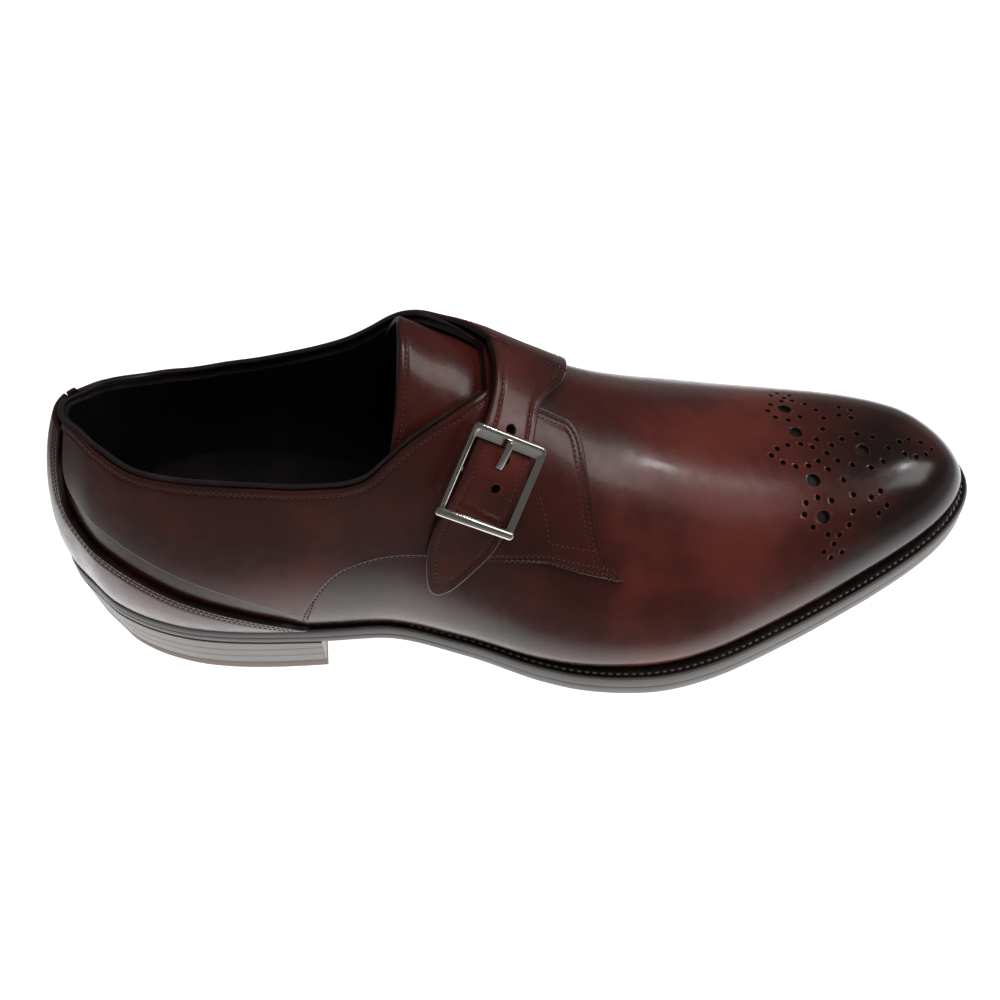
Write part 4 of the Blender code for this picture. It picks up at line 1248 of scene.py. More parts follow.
def plate_piece(name, turns, rings, slots, ring_slots=None, medial_limit=None):
    """A solid whose sections across the shoe are flat. Each ring is (inset, height) as
    functions of the place, from the bottom to the top."""
    ats = place(turns)
    vertices = []
    for inset, height in rings:
        for side in (-1, 1):
            points, _ = outline(side, turns, inset(ats) * np.ones_like(ats))
            across = points[:, 1]
            if side > 0 and medial_limit is not None:
                across = np.minimum(across, medial_limit(points[:, 0]))
            if side > 0:
                across = np.maximum(across, 0)
            heights = height(np.clip(points[:, 0] / LENGTH, 0, 1)) * np.ones_like(across)
            vertices.append(to_frame(np.stack([points[:, 0], across, heights], axis=-1)))
    vertices = np.concatenate(vertices)
    count = len(ats)
    first = join_map(vertices)
    faces, face_slots = [], []
    last = len(rings) - 1

    def add(slot, *corners):
        loop = list(dict.fromkeys(first[i] for i in corners))
        if len(loop) > 2:
            faces.append(loop)
            face_slots.append(slot)

    for ring in range(len(rings)):
        slot = ring_slots[ring] if ring_slots else 0
        lateral = ring * 2 * count
        medial = lateral + count
        above = 2 * count
        for i in range(count - 1):
            if ring in (0, last):
                add(slot, lateral + i, lateral + i + 1, medial + i + 1, medial + i)
            if ring < last:
                for base in (lateral, medial):
                    add(slot, base + i, base + i + 1, above + base + i + 1, above + base + i)
        if ring < last:
            end = count - 1
            add(slot, lateral + end, medial + end, medial + end + above, lateral + end + above)
            add(slot, lateral, medial, medial + above, lateral + above)
    return new_piece(name, vertices, faces, slots, face_slots)


def constant(value):
    return lambda at: value


# The shown sock reaches this much closer to the wall than the solid does
SOCK_SPREAD = 0.0006


def make_insole():
    """The sock of the insole, with a rounded edge."""
    turns = np.linspace(0, 1, 120)

    def inset(more):
        return lambda at: ledge(at) + WALL + INSOLE_CLEARANCE - SOCK_SPREAD + more

    def height(up):
        return lambda at: sole_top(at) + GAP + up

    rings = ((inset(0.0), height(0.0)), (inset(0.0), height(INSOLE_THICK - 0.0006)),
             (inset(0.0004), height(INSOLE_THICK - 0.0001)), (inset(0.001), height(INSOLE_THICK)))
    return plate_piece("insole_sock", turns, rings, [lining_leather("black_lining")])


# How far in from the edge the welt's stitches lie
WELT_GROOVE = 0.0022


def make_welt():
    """The flat ledge round the upper, black on top, with its outer edge dressed as the sole's."""
    turns = np.linspace(0, 1, 2 * SOLE_COLUMNS)
    at = place(turns)
    thick = WELT_SHARE * sole_edge(at)
    reach = ledge(at) + WELT_REACH
    # Distance in from the edge and share of the thickness down, with the stitches' groove
    profile = ((0.0, 1.0), (0.0, 0.30), (0.00035, 0.07), (0.0009, 0.0),
               (WELT_GROOVE - 0.0003, 0.0), (WELT_GROOVE, 0.06), (WELT_GROOVE + 0.0003, 0.0),
               (0.0034, -0.02), (None, 0.0), (None, 1.0))
    grids = []
    for side in (-1, 1):
        rows = []
        for inset, down in profile:
            distance = reach if inset is None else np.full_like(at, inset)
            points, _ = outline(side, turns, distance)
            if side > 0:
                points[:, 1] = np.maximum(points[:, 1], 0)
            top = sole_top(np.clip(points[:, 0] / LENGTH, 0, 1))
            rows.append(np.concatenate([points, (top - down * thick)[:, None]], axis=-1))
        rows.append(rows[0])
        grids.append(to_frame(np.stack(rows)))
    slot_rows = [0] * 3 + [1] * 7
    outer = np.concatenate([g.reshape(-1, 3) for g in grids])
    first = np.array(join_map(outer))
    faces, face_slots = [], []
    rows, columns = grids[0].shape[:2]
    for start in (0, rows * columns):
        for i in range(rows - 1):
            line = start + i * columns
            made = grid_faces(first[line:line + 2 * columns], [(2, columns)])
            faces += made
            face_slots += [slot_rows[i]] * len(made)
    edge = layered_leather("sole_edge", bpy.context.scene.shoe_colours.sole, 0.42, 700.0, 0.12,
                           0.2)
    return new_piece("welt_strip", outer, faces, [edge, inked_leather("welt_ink", 0.25)],
                     face_slots)


def make_outsole():
    """The outsole, with a dressed edge and a paler underside."""
    turns = np.unique(np.concatenate([np.linspace(0, 1, SOLE_COLUMNS),
                                      station(np.array([FLAT_START, FLAT_END]))]))

    def from_top(down):
        return lambda at: sole_top(at) - WELT_SHARE * sole_edge(at) - GAP / 2 - down

    def from_under(up):
        return lambda at: sole_under(at) + up

    rings = ((constant(0.0016), from_under(0.0)), (constant(0.0007), from_under(0.0002)),
             (constant(0.0002), from_under(0.0006)), (constant(0.0), from_under(0.0012)),
             (constant(0.0), from_top(0.0006)), (constant(0.00012), from_top(0.0002)),
             (constant(0.0004), from_top(0.0)))
    edge = layered_leather("sole_edge", bpy.context.scene.shoe_colours.sole, 0.42, 700.0, 0.12,
                           0.2)
    under = layered_leather("sole_underside", (0.30, 0.19, 0.12), 0.5, 60.0, 0.1, 0.25)
    return plate_piece("outsole_leather", turns, rings, [under, edge], (0, 0, 1, 1, 1, 1, 1))


# The fine gap between two of the heel's layers
LAYER_GAP = 0.00003


def make_heel():
    """The lifts and the top piece, square in front, cut off at the medial front corner."""
    corner = np.array([CORNER_START, HEEL_LENGTH / LENGTH])
    turns = np.unique(np.concatenate([np.linspace(0, station(corner[0]), 70),
                                      np.linspace(*station(corner), 12)]))
    seat = HEEL_HEIGHT

    def medial_limit(x):
        cut = (x - CORNER_START * LENGTH) / (HEEL_LENGTH - CORNER_START * LENGTH)
        reach = half_width(1, CORNER_START) - HEEL_TAPER
        return np.where(cut > 0, reach - CORNER_CUT * np.clip(cut, 0, 1), BALL_WIDTH)

    def taper(height):
        return HEEL_TAPER * (1 - height / seat)

    colours = bpy.context.scene.shoe_colours
    stacked = layered_leather("stacked_heel", colours.heel, 0.42, 1200.0, 0.10, 0.14)
    rubber = layered_leather("heel_rubber", colours.heel, 0.5, 300.0, 0.08, 0.35)
    soft_edge = 0.00006
    lowest = HEEL_HEIGHT * SIDE[2].heel_rise
    lift = (lowest - TOP_PIECE_THICK) / LIFTS
    pieces = []

    def layer(name, low, high, material):
        top_inset = 0.0 if high is None else taper(high)

        def top(down):
            if high is None:
                return lambda at: sole_under(at) - LAYER_GAP - down
            return constant(high - LAYER_GAP - down)

        rings = ((constant(taper(low) + soft_edge), constant(low)),
                 (constant(taper(low)), constant(low + soft_edge)),
                 (constant(top_inset), top(soft_edge)),
                 (constant(top_inset + soft_edge), top(0.0)))
        pieces.append((name, plate_piece(name + "_leather", turns, rings, [material],
                                         medial_limit=medial_limit)))

    layer("heel_top_piece", 0.0, TOP_PIECE_THICK, rubber)
    for i in range(LIFTS):
        low = TOP_PIECE_THICK + i * lift
        layer("heel_lift_%d" % (i + 1), low,
              None if i == LIFTS - 1 else TOP_PIECE_THICK + (i + 1) * lift, stacked)
    return pieces


# Buckle


def buckle_matrix():
    """The buckle's own axes on the strap: X across it, Y up it towards the instep, Z out."""
    def middle(run):
        at = (column(STRAP, "back_at", run) + column(STRAP, "front_at", run)) / 2
        share = (column(STRAP, "back_share", run) + column(STRAP, "front_share", run)) / 2
        return at, share

    at, share = middle(BUCKLE_RUN)
    at_up, share_up = middle(BUCKLE_RUN - 0.1)
    centre = leather(-1, station(at), share, 0.0)
    out = Vector(leather(-1, station(at), share, 0.01) - centre).normalized()
    up = Vector(leather(-1, station(at_up), share_up, 0.0) - centre)
    up = (up - out * up.dot(out)).normalized()
    matrix = Matrix((up.cross(out), up, out)).transposed().to_4x4()
    matrix.translation = Vector(to_frame(centre))
    return matrix


def rounded_loop(half_x, low_y, high_y, radius, height, turns=7):
    """Points of a rounded rectangle."""
    radius = max(radius, 1e-5)
    points = []
    corners = ((half_x, high_y, 0.0), (-half_x, high_y, 0.5), (-half_x, low_y, 1.0),
               (half_x, low_y, 1.5))
    for x, y, start in corners:
        cx = x - np.sign(x) * radius
        cy = (high_y - radius) if y == high_y else (low_y + radius)
        for i in range(turns + 1):
            angle = pi * (start + 0.5 * i / turns)
            points.append((cx + radius * cos(angle), cy + radius * sin(angle), height))
    return points


def revolved(profile, segments, axis_matrix):
    """A closed turned form from (radius, along) pairs; both ends are on the axis."""
    vertices, rings = [], []
    for radius, along in profile:
        ring = []
        if radius < 1e-9:
            ring = [len(vertices)]
            vertices.append((along, 0.0, 0.0))
        else:
            for i in range(segments):
                angle = 2 * pi * i / segments
                ring.append(len(vertices))
                vertices.append((along, radius * cos(angle), radius * sin(angle)))
        rings.append(ring)
    faces = []
    for a, b in zip(rings, rings[1:]):
        for i in range(segments):
            j = (i + 1) % segments
            loop = [a[i % len(a)], a[j % len(a)], b[j % len(b)], b[i % len(b)]]
            loop = list(dict.fromkeys(loop))
            if len(loop) > 2:
                faces.append(loop)
    return [axis_matrix @ Vector(v) for v in vertices], faces


def round_rod(radius, reach, rounding, steps):
    """The profile of a rod with rounded ends, reach long on each side of its middle."""
    ends = [(radius * sin(a), -reach + rounding * (1 - cos(a)))
            for a in np.linspace(0, pi / 2, steps)]
    return ends + [(r, -along) for r, along in ends[::-1]]


def joined(parts):
    """Several (vertices, faces) forms as one."""
    vertices, faces = [], []
    for some, loops in parts:
        faces += [[i + len(vertices) for i in loop] for loop in loops]
        vertices += list(some)
    return vertices, faces


# How the shown buckle sits against its solid: moved, turned in degrees, and slimmer
BUCKLE_SHIFT = (-0.0006, -0.0013, 0.0005)
BUCKLE_TURN = -4.0
BUCKLE_SLIMMER = (0.0010, 0.0007)
TOP_BAR = 0.0041
BOTTOM_BAR = 0.0022
OUTER_CORNER = 0.0022
INNER_CORNER = 0.0006
ROLLER_RADIUS = 0.00145
ROLLER_OVERHANG = 0.0006


def make_buckle():
    """The frame with its roller, the bar and the prong, each with its node's name."""
    matrix = (buckle_matrix() @ Matrix.Translation(BUCKLE_SHIFT)
              @ Matrix.Rotation(radians(BUCKLE_TURN), 4, "Z"))
    metal = [buckle_metal("polished_nickel")]
    half_x = BUCKLE_ACROSS / 2 - BUCKLE_SLIMMER[0]
    half_y = BUCKLE_ALONG / 2 - BUCKLE_SLIMMER[1]
    # The frame's section: share of its width from the outer edge in, share of its depth
    section = ((0.0, 0.25), (0.0, 0.62), (0.05, 0.84), (0.14, 0.97), (0.25, 1.0), (0.36, 0.97),
               (0.44, 0.86), (0.55, 0.70), (0.70, 0.56), (0.86, 0.47), (0.97, 0.42), (1.0, 0.34),
               (1.0, 0.1), (0.92, 0.0), (0.10, 0.0), (0.02, 0.08))
    loops = []
    for part, rise in section:
        radius = OUTER_CORNER * (1 - part) + INNER_CORNER * part
        loops.append(rounded_loop(half_x - part * BUCKLE_SIDE, -half_y + part * BOTTOM_BAR,
                                  half_y - part * TOP_BAR, radius,
                                  FRAME_LOW + rise * BUCKLE_DEPTH))
    vertices = [matrix @ Vector(p) for loop in loops for p in loop]
    faces = tube_faces(len(loops), len(loops[0]), closed=True)
    profile = round_rod(ROLLER_RADIUS, half_x + ROLLER_OVERHANG, ROLLER_RADIUS * 0.8, 6)
    place_roller = matrix @ Matrix.Translation(
        (0, -half_y + 0.0012, FRAME_LOW + BUCKLE_DEPTH - 0.0008))
    roller = revolved(profile, 24, place_roller)
    frame_piece = new_piece("buckle_frame_polished", *joined([(vertices, faces), roller]), metal,
                            angle=35.0)
    inner = half_x - BUCKLE_SIDE - GAP
    bar = revolved(round_rod(CENTRE_BAR_RADIUS, inner, CENTRE_BAR_RADIUS * 0.5, 5), 16,
                   matrix @ Matrix.Translation((0, 0, BAR_LEVEL)))
    return (("buckle_frame", frame_piece),
            ("buckle_bar", new_piece("buckle_bar_polished", *bar, metal)),
            ("buckle_prong", make_prong(matrix, half_y, metal)))


def make_prong(matrix, half_y, metal):
    """The prong: a short flat bar that comes out of the strap and lies on the frame."""
    wide, thick = 0.00105, 0.0005
    route = ((half_y - 0.0102, 0.0059), (half_y - 0.0092, 0.0064), (half_y - 0.0076, 0.0068),
             (half_y - 0.0056, 0.0071), (half_y - 0.0038, 0.0073), (half_y - 0.0026, 0.0073),
             (half_y - 0.0022, 0.0072))
    shape = ((1.0, 0.0), (0.92, 0.6), (0.6, 0.95), (0.0, 1.0), (-0.6, 0.95), (-0.92, 0.6),
             (-1.0, 0.0), (-0.92, -0.6), (-0.6, -0.95), (0.0, -1.0), (0.6, -0.95), (0.92, -0.6))
    taper = (1.0, 1.0, 1.0, 1.0, 1.0, 0.96, 0.8)
    vertices = []
    for (y, z), size in zip(route, taper):
        vertices += [matrix @ Vector((x * wide * size, y, z + h * thick * size))
                     for x, h in shape]
    faces = tube_faces(len(route), len(shape))
    return new_piece("buckle_prong_polished", vertices, faces, metal)

# Stitches and holes by geometry nodes


def node_tree(name, inputs):
    """A geometry tree: its outputs are given first, then the inputs of its result."""
    tree = bpy.data.node_groups.new(name, "GeometryNodeTree")
    for label, kind in (("Geometry", "Geometry"), *inputs):
        tree.interface.new_socket(label, in_out="INPUT", socket_type="NodeSocket" + kind)
    tree.interface.new_socket("Geometry", in_out="OUTPUT", socket_type="NodeSocketGeometry")
    return (tree, tree.nodes.new("NodeGroupInput").outputs,
            tree.nodes.new("NodeGroupOutput").inputs)


def end_tree(tree, given, result, geometry):
    """The tree ends in Realize Instances and Set Material."""
    real = node(tree, "GeometryNodeRealizeInstances", Geometry=geometry)
    dressed = node(tree, "GeometryNodeSetMaterial", Geometry=real.outputs["Geometry"],
                   Material=given["Material"])
    put(tree, result["Geometry"], dressed.outputs["Geometry"])


def stored(tree, name, kind):
    """The value of a point's named attribute."""
    return node(tree, "GeometryNodeInputNamedAttribute", data_type=kind,
                Name=name).outputs["Attribute"]


def stitch_tree():
    """Stitches along guide lines: one rounded thread segment at every pitch."""
    found = bpy.data.node_groups.get("sewn_stitches")
    if found:
        return found
    tree, given, result = node_tree("sewn_stitches", (
        ("Pitch", "Float"), ("Stitch Length", "Float"), ("Thread Width", "Float"),
        ("Material", "Material")))
    curve = node(tree, "GeometryNodeMeshToCurve", Mesh=given["Geometry"])
    evenly = node(tree, "GeometryNodeResampleCurve", mode="LENGTH",
                  Curve=curve.outputs["Curve"], Length=given["Pitch"])
    tangent = node(tree, "GeometryNodeInputTangent").outputs["Tangent"]
    turn = node(tree, "FunctionNodeAxesToRotation", primary_axis="X", secondary_axis="Z",
                Primary_Axis=tangent, Secondary_Axis=stored(tree, "up", "FLOAT_VECTOR"))
    ball = node(tree, "GeometryNodeMeshUVSphere", Segments=6, Rings=5, Radius=0.5)
    size = node(tree, "ShaderNodeCombineXYZ", given["Stitch Length"], given["Thread Width"],
                given["Thread Width"])
    rows = node(tree, "GeometryNodeInstanceOnPoints", Points=evenly.outputs["Curve"],
                Instance=ball.outputs["Mesh"], Rotation=turn.outputs["Rotation"],
                Scale=size.outputs["Vector"])
    end_tree(tree, given, result, rows.outputs["Instances"])
    return tree


def cutter_tree():
    """Punches of a given shape on points, turned along the points' out attribute."""
    found = bpy.data.node_groups.get("punched_holes")
    if found:
        return found
    tree, given, result = node_tree("punched_holes", (
        ("Punch", "Object"), ("Material", "Material")))
    turn = node(tree, "FunctionNodeAlignRotationToVector", axis="Z",
                Vector=stored(tree, "out", "FLOAT_VECTOR"))
    radius = stored(tree, "hole_radius", "FLOAT")
    size = node(tree, "ShaderNodeCombineXYZ", radius, radius, 1.0)
    punch = node(tree, "GeometryNodeObjectInfo", Object=given["Punch"])
    points = node(tree, "GeometryNodeMeshToPoints", Mesh=given["Geometry"])
    rows = node(tree, "GeometryNodeInstanceOnPoints", Points=points.outputs["Points"],
                Instance=punch.outputs["Geometry"], Rotation=turn.outputs["Rotation"],
                Scale=size.outputs["Vector"])
    end_tree(tree, given, result, rows.outputs["Instances"])
    return tree


def grown(name, points, edges, attributes, tree, values):
    """A plain mesh object that a node tree makes from guide points and edges."""
    mesh = bpy.data.meshes.new(name + "_guide")
    mesh.from_pydata([tuple(p) for p in points], [tuple(e) for e in edges], [])
    for key, (kind, data) in attributes.items():
        made = mesh.attributes.new(key, kind, "POINT")
        field = "vector" if kind == "FLOAT_VECTOR" else "value"
        made.data.foreach_set(field, np.asarray(data, dtype=np.float32).ravel())
    guide = placed(name + "_guide", mesh)
    modifier = guide.modifiers.new("grown", "NODES")
    modifier.node_group = tree
    for item in tree.interface.items_tree:
        if item.in_out == "INPUT" and item.name in values:
            modifier[item.identifier] = values[item.name]
    graph = bpy.context.evaluated_depsgraph_get()
    plain = bpy.data.meshes.new_from_object(guide.evaluated_get(graph))
    guide.modifiers.remove(modifier)
    bpy.data.objects.remove(guide, do_unlink=True)
    if not len(plain.polygons):
        raise RuntimeError("no faces were made for " + name)
    plain.name = name
    plain.shade_smooth()
    return placed(name, plain)


def sew(name, routes, pitch, length, width, material):
    """One piece with the stitches of several routes of (points, ups)."""
    points, ups, edges = [], [], []
    for route, up in routes:
        start = len(points)
        points += list(route)
        ups += list(up)
        edges += [(start + i, start + i + 1) for i in range(len(route) - 1)]
    return grown(name, points, edges, {"up": ("FLOAT_VECTOR", ups)}, stitch_tree(),
                 {"Pitch": pitch, "Stitch Length": length, "Thread Width": width,
                  "Material": material})


def punch_shape(depth):
    """A hole of radius 1 with a small funnel at its mouth."""
    profile = ((0.0, -depth), (1.0, -depth), (1.0, -0.00022), (1.10, -0.00006), (1.32, 0.00006),
               (1.32, 0.0008), (0.0, 0.0008))
    vertices, faces = revolved(profile, 16, Matrix.Rotation(-pi / 2, 4, "Y"))
    mesh = bpy.data.meshes.new("punch")
    mesh.from_pydata(vertices, [], faces)
    work = bmesh.new()
    work.from_mesh(mesh)
    bmesh.ops.recalc_face_normals(work, faces=work.faces)
    work.to_mesh(mesh)
    work.free()
    return placed("punch", mesh)


def punch_holes(thing, spots, depth, material):
    """Cuts holes into a piece; spots are (point, out, radius)."""
    punch = punch_shape(depth)
    cutters = grown(thing.name + "_cutters", [s[0] for s in spots], [],
                    {"out": ("FLOAT_VECTOR", [s[1] for s in spots]),
                     "hole_radius": ("FLOAT", [s[2] for s in spots])},
                    cutter_tree(), {"Punch": punch, "Material": material})
    cut = thing.modifiers.new("holes", "BOOLEAN")
    cut.operation = "DIFFERENCE"
    cut.solver = "MANIFOLD"
    cut.material_mode = "TRANSFER"
    cut.object = cutters
    graph = bpy.context.evaluated_depsgraph_get()
    result = bpy.data.meshes.new_from_object(thing.evaluated_get(graph))
    thing.modifiers.remove(cut)
    if len(result.polygons) <= len(thing.data.polygons):
        raise RuntimeError("the holes were not cut into " + thing.name)
    thing.data = result
    result.shade_smooth()
    result.set_sharp_from_angle(angle=radians(40))
    bpy.data.objects.remove(cutters, do_unlink=True)
    bpy.data.objects.remove(punch, do_unlink=True)


def medallion_spots():
    """Where the toe's holes are: (point, out, radius), on the vamp's outer face."""
    sizes = bpy.context.scene.shoe_sizes
    turns = np.linspace(station(0.60), 1, 420)
    shares = np.linspace(0.3, 1, 260)
    points, sides = [], []
    grid_turn, grid_share = np.meshgrid(turns, shares)
    for side in (-1, 1):
        points.append(to_frame(leather(side, grid_turn, grid_share)).reshape(-1, 3))
        sides.append(np.full(grid_turn.size, side))
    points = np.concatenate(points)
    where = np.tile(np.stack([grid_turn.ravel(), grid_share.ravel()], axis=-1), (2, 1))
    sides = np.concatenate(sides)
    turn = radians(MEDALLION_TURN)
    chart = []
    for middle, pairs, radius in ((BIG_MIDDLE, BIG_PAIRS, sizes.big_hole / 2),
                                  (SMALL_MIDDLE, SMALL_PAIRS, sizes.small_hole / 2)):
        for along, across in list(middle) + list(pairs) + [(a, -b) for a, b in pairs]:
            chart.append((along / 1000, across / 1000, radius))
    spots = []
    for along, across, radius in chart:
        x = MEDALLION_AT[0] + along * cos(turn) - across * sin(turn)
        y = MEDALLION_AT[1] + along * sin(turn) + across * cos(turn)
        i = np.argmin((points[:, 0] - x) ** 2 + (points[:, 1] - y) ** 2)
        side = sides[i]
        out = unit(leather(side, where[i, 0], where[i, 1], FINE_SHIFT)
                   - leather(side, where[i, 0], where[i, 1]))
        spots.append((points[i], out, radius))
    return spots


# The strap's holes, as places on the last and as shares of the strap's run
STRAP_HOLES = ((0.465, 0.726, 0.375), (0.449, 0.565, 0.57), (0.457, 0.645, 0.475))


def strap_spots():
    """Where the strap's holes are: (point, out, radius), on its outer face."""
    radius = bpy.context.scene.shoe_sizes.strap_hole / 2
    spots = []
    for at, share, run in STRAP_HOLES:
        level = (column(STRAP, "lift", run) + 1) * STRAP_THICK
        points, normals = line_on(-1, np.array([at]), np.array([share]), level)
        spots.append((points[0], normals[0], radius))
    return spots


# Operators


class PieceOperator:
    """What the operators of the shoe's pieces have in common."""

    bl_options = {"REGISTER", "UNDO"}

    def execute(self, context):
        self.make(context)
        return {"FINISHED"}


class SHOE_OT_upper(PieceOperator, bpy.types.Operator):
    """Makes the vamp and body, with the medallion's holes punched into the toe"""

    bl_idname = "shoe.upper"
    bl_label = "Upper"

    def make(self, context):
        upper = make_upper()
        punch_holes(upper, medallion_spots(), context.scene.shoe_sizes.hole_depth,
                    inked_leather("hole_edge", 0.3))
        hand_over(upper, "upper_leather", "upper")


class SHOE_OT_tongue(PieceOperator, bpy.types.Operator):
    """Makes the tongue under the strap"""

    bl_idname = "shoe.tongue"
    bl_label = "Tongue"

    def make(self, context):
        hand_over(make_tongue(), "upper_leather", "tongue")


class SHOE_OT_quarters(PieceOperator, bpy.types.Operator):
    """Makes both quarters, the medial one with the strap and its holes"""

    bl_idname = "shoe.quarters"
    bl_label = "Quarters and strap"

    def make(self, context):
        hand_over(make_quarter_lateral(), "upper_leather", "quarter_lateral")
        medial = make_quarter_medial()
        punch_holes(medial, strap_spots(), STRAP_THICK + 0.0006,
                    inked_leather("hole_edge", 0.3))
        hand_over(medial, "upper_leather", "quarter_medial_strap")


class SHOE_OT_counter(PieceOperator, bpy.types.Operator):
    """Makes the heel counter"""

    bl_idname = "shoe.counter"
    bl_label = "Counter"

    def make(self, context):
        hand_over(make_counter(), "upper_leather", "counter")


class SHOE_OT_binding(PieceOperator, bpy.types.Operator):
    """Makes the rolled binding round the collar"""

    bl_idname = "shoe.binding"
    bl_label = "Collar binding"

    def make(self, context):
        hand_over(make_binding(), "edge_leather", "collar_binding")


class SHOE_OT_sole(PieceOperator, bpy.types.Operator):
    """Makes the insole, the welt and the outsole"""

    bl_idname = "shoe.sole"
    bl_label = "Sole"

    def make(self, context):
        hand_over(make_insole(), "lining", "insole")
        hand_over(make_welt(), "edge_leather", "welt")
        hand_over(make_outsole(), "sole_leather", "outsole")


class SHOE_OT_heel(PieceOperator, bpy.types.Operator):
    """Makes the stacked heel and its top piece"""

    bl_idname = "shoe.heel"
    bl_label = "Heel"

    def make(self, context):
        for name, thing in make_heel():
            slot = "heel_rubber" if name == "heel_top_piece" else "heel_leather"
            hand_over(thing, slot, name)


class SHOE_OT_buckle(PieceOperator, bpy.types.Operator):
    """Makes the buckle's frame with its roller, its bar and its prong"""

    bl_idname = "shoe.buckle"
    bl_label = "Buckle"

    def make(self, context):
        for name, thing in make_buckle():
            hand_over(thing, "buckle_metal", name)


class SHOE_OT_stitches(PieceOperator, bpy.types.Operator):
    """Sews the seams of the upper and the welt"""

    bl_idname = "shoe.stitches"
    bl_label = "Stitches"

    def make(self, context):
        sizes = context.scene.shoe_sizes
        colours = context.scene.shoe_colours
        thread = thread_material("burgundy_thread", colours.thread)
        sunk = 0.00008
        for piece in sorted({seam[0] for seam in SEAMS}):
            routes = [(route - ups * (depth - sunk), ups)
                      for name, route, ups, depth in SEAMS if name == piece]
            sewn = sew(piece.replace("_leather", "_stitches"), routes, sizes.stitch_pitch,
                       sizes.stitch_pitch * 0.72, sizes.stitch_width, thread)
            hand_over(sewn, "upper_leather")
        welt_thread = thread_material("welt_thread", colours.welt_thread)
        turns = np.linspace(station(0.36), 1, 500)
        routes = []
        for side in (-1, 1):
            points, _ = outline(side, turns, WELT_GROOVE)
            top = sole_top(np.clip(points[:, 0] / LENGTH, 0, 1)) + 0.00005
            line = to_frame(np.concatenate([points, top[:, None]], axis=-1))
            routes.append((line, np.tile([0.0, 0.0, 1.0], (len(line), 1))))
        sewn = sew("welt_stitches", routes, sizes.welt_pitch, sizes.welt_pitch * 0.66,
                   sizes.stitch_width * 1.3, welt_thread)
        hand_over(sewn, "edge_leather")


def area_light(name, centre, target, size, power):
    """A soft box that is aimed at the target."""
    light = bpy.data.lights.new(name, "AREA")
    light.shape = "RECTANGLE"
    light.size, light.size_y = size
    light.energy = power
    thing = placed(name, light)
    thing.location = centre
    aim = Vector(target) - Vector(centre)
    thing.rotation_euler = aim.to_track_quat("-Z", "Y").to_euler()
    return thing


# The camera: yaw, pitch and roll in radians, its place, its lens and its shift
CAMERA_TURNS = (0.0817, 0.882, 0.024)
CAMERA_AT = (0.0790, -0.2415, 0.3799)
CAMERA_LENS = 47.7
CAMERA_SHIFT = -0.114
# The bright oval of floor round the shoe: its middle and its half sizes
GLOW_MIDDLE = 0.107
GLOW_REACH = (0.2, 0.105)
FLOOR_REACH = 4.0


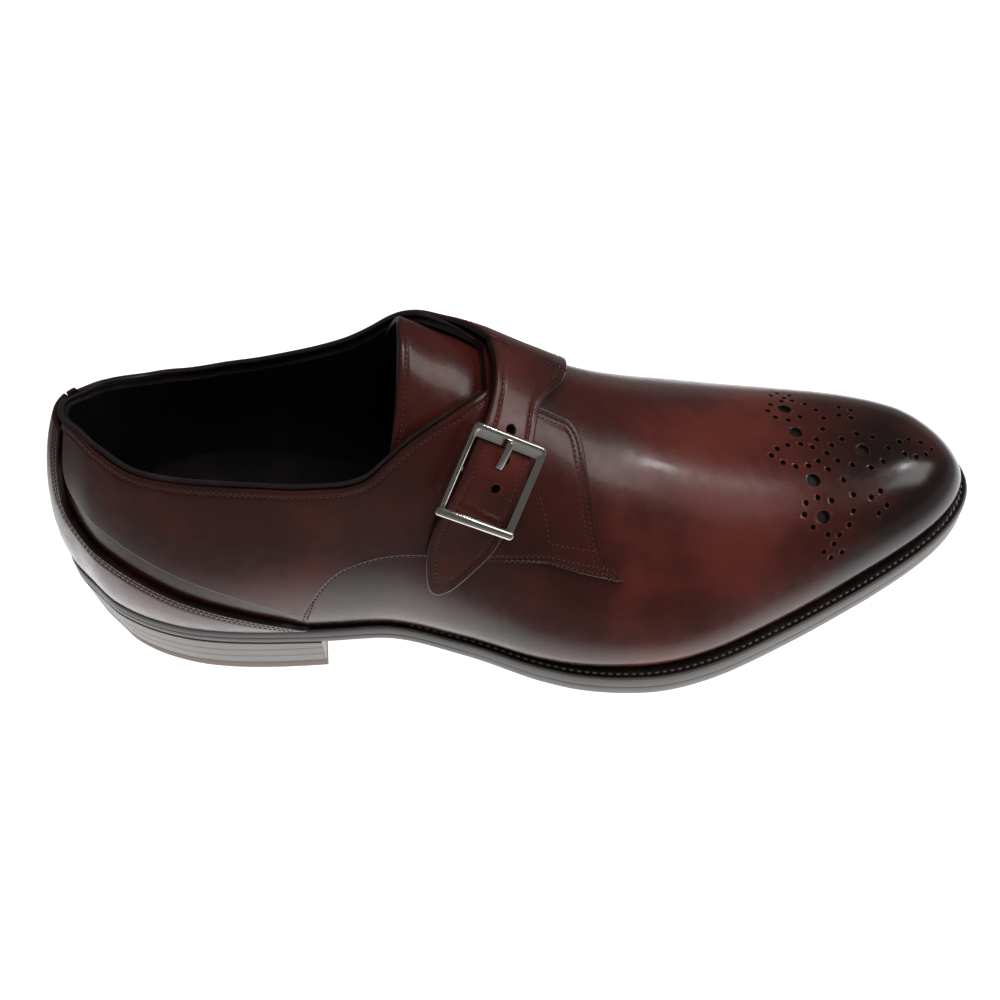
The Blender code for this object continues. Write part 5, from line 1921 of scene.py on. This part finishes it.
class SHOE_OT_stage(PieceOperator, bpy.types.Operator):
    """Sets up the pale floor, the soft light and the camera"""

    bl_idname = "shoe.stage"
    bl_label = "Stage"

    def make(self, context):
        stage = context.scene.shoe_stage
        mesh = bpy.data.meshes.new("floor")
        corners = ((-1, -1), (1, -1), (1, 1), (-1, 1))
        mesh.from_pydata([(x * FLOOR_REACH, y * FLOOR_REACH, 0) for x, y in corners], [],
                         [(0, 1, 2, 3)])
        material, tree, shader = new_material("pale_floor", 0.8, Base_Color=(0.3, 0.3, 0.3, 1.0),
                                              Emission_Strength=1.0)
        self.glow(tree, shader, stage.floor_glow)
        mesh.materials.append(material)
        placed("floor", mesh)
        aim = (0.10, 0.0, 0.05)
        area_light("key_light", (0.99, -0.05, 0.535), aim, (0.38, 0.34), stage.key_power)
        area_light("toe_light", (0.871, 0.098, 0.624), (0.19, -0.01, 0.045), (0.07, 0.05),
                   stage.toe_power)
        fill = area_light("fill_light", (0.45, -0.1, 1.6), aim, (1.6, 1.2), stage.fill_power)
        fill.visible_glossy = False
        world = bpy.data.worlds.new("studio")
        world.use_nodes = True
        tree = world.node_tree
        seen = node(tree, "ShaderNodeLightPath").outputs["Is Camera Ray"]
        dress(tree, tree.nodes["Background"], Color=WHITE,
              Strength=ranged(tree, seen, start=0.10, end=0.92))
        context.scene.world = world
        context.scene.view_settings.view_transform = "Standard"
        self.place_camera(context)

    def glow(self, tree, shader, strength):
        """The floor looks evenly pale, and lights the shoe only from close by."""
        oval = node(tree, "ShaderNodeMapping", Vector=own_place(tree),
                    Location=(-GLOW_MIDDLE / GLOW_REACH[0], 0.0, 0.0),
                    Scale=(1 / GLOW_REACH[0], 1 / GLOW_REACH[1], 1.0))
        far = node(tree, "ShaderNodeVectorMath", oval.outputs["Vector"], operation="LENGTH")
        near = ranged(tree, far.outputs["Value"], 0.75, 1.3, strength * 1.3, 0.04, "SMOOTHSTEP")
        seen = node(tree, "ShaderNodeLightPath").outputs["Is Camera Ray"]
        pick = node(tree, "ShaderNodeMix", data_type="FLOAT", Factor=seen, A=near,
                    B=strength).outputs["Result"]
        tint = node(tree, "ShaderNodeCombineColor", pick, pick, pick)
        dress(tree, shader, Emission_Color=tint.outputs["Color"])

    def place_camera(self, context):
        yaw, pitch, roll = CAMERA_TURNS
        forward = Vector((sin(yaw) * cos(pitch), cos(yaw) * cos(pitch), -sin(pitch)))
        right = Vector((cos(yaw), -sin(yaw), 0.0))
        down = forward.cross(right)
        turned_right = right * cos(roll) + down * sin(roll)
        turned_down = down * cos(roll) - right * sin(roll)
        matrix = Matrix((turned_right, -turned_down, -forward)).transposed().to_4x4()
        matrix.translation = CAMERA_AT
        lens = bpy.data.cameras.new("camera")
        lens.lens = CAMERA_LENS
        lens.shift_y = CAMERA_SHIFT
        lens.clip_start = 0.01
        camera = placed("camera", lens)
        camera.matrix_world = matrix
        context.scene.camera = camera


OPERATORS = (SHOE_OT_upper, SHOE_OT_tongue, SHOE_OT_quarters, SHOE_OT_counter, SHOE_OT_binding,
             SHOE_OT_sole, SHOE_OT_heel, SHOE_OT_buckle, SHOE_OT_stitches, SHOE_OT_stage)


class SHOE_PT_panel(bpy.types.Panel):
    """Sizes, colours and the operators that build the shoe"""

    bl_idname = "SHOE_PT_panel"
    bl_label = "Monk strap shoe"
    bl_space_type = "VIEW_3D"
    bl_region_type = "UI"
    bl_category = "Shoe"

    def draw(self, context):
        for group in (context.scene.shoe_sizes, context.scene.shoe_colours,
                      context.scene.shoe_stage):
            box = self.layout.box()
            for key in group.bl_rna.properties.keys():
                if key not in ("rna_type", "name"):
                    box.prop(group, key)
        column_ui = self.layout.column(align=True)
        for operator in OPERATORS:
            column_ui.operator(operator.bl_idname)


CLASSES = (ShoeSizes, ShoeColours, StageLight, *OPERATORS, SHOE_PT_panel)


def register():
    for item in CLASSES:
        bpy.utils.register_class(item)
    bpy.types.Scene.shoe_sizes = PointerProperty(type=ShoeSizes)
    bpy.types.Scene.shoe_colours = PointerProperty(type=ShoeColours)
    bpy.types.Scene.shoe_stage = PointerProperty(type=StageLight)


def unregister():
    del bpy.types.Scene.shoe_stage
    del bpy.types.Scene.shoe_colours
    del bpy.types.Scene.shoe_sizes
    for item in reversed(CLASSES):
        bpy.utils.unregister_class(item)


def main():
    register()
    for step in ("upper", "tongue", "quarters", "counter", "binding", "sole", "heel", "buckle",
                 "stitches", "stage"):
        getattr(bpy.ops.shoe, step)()


if __name__ == "__main__":
    main()
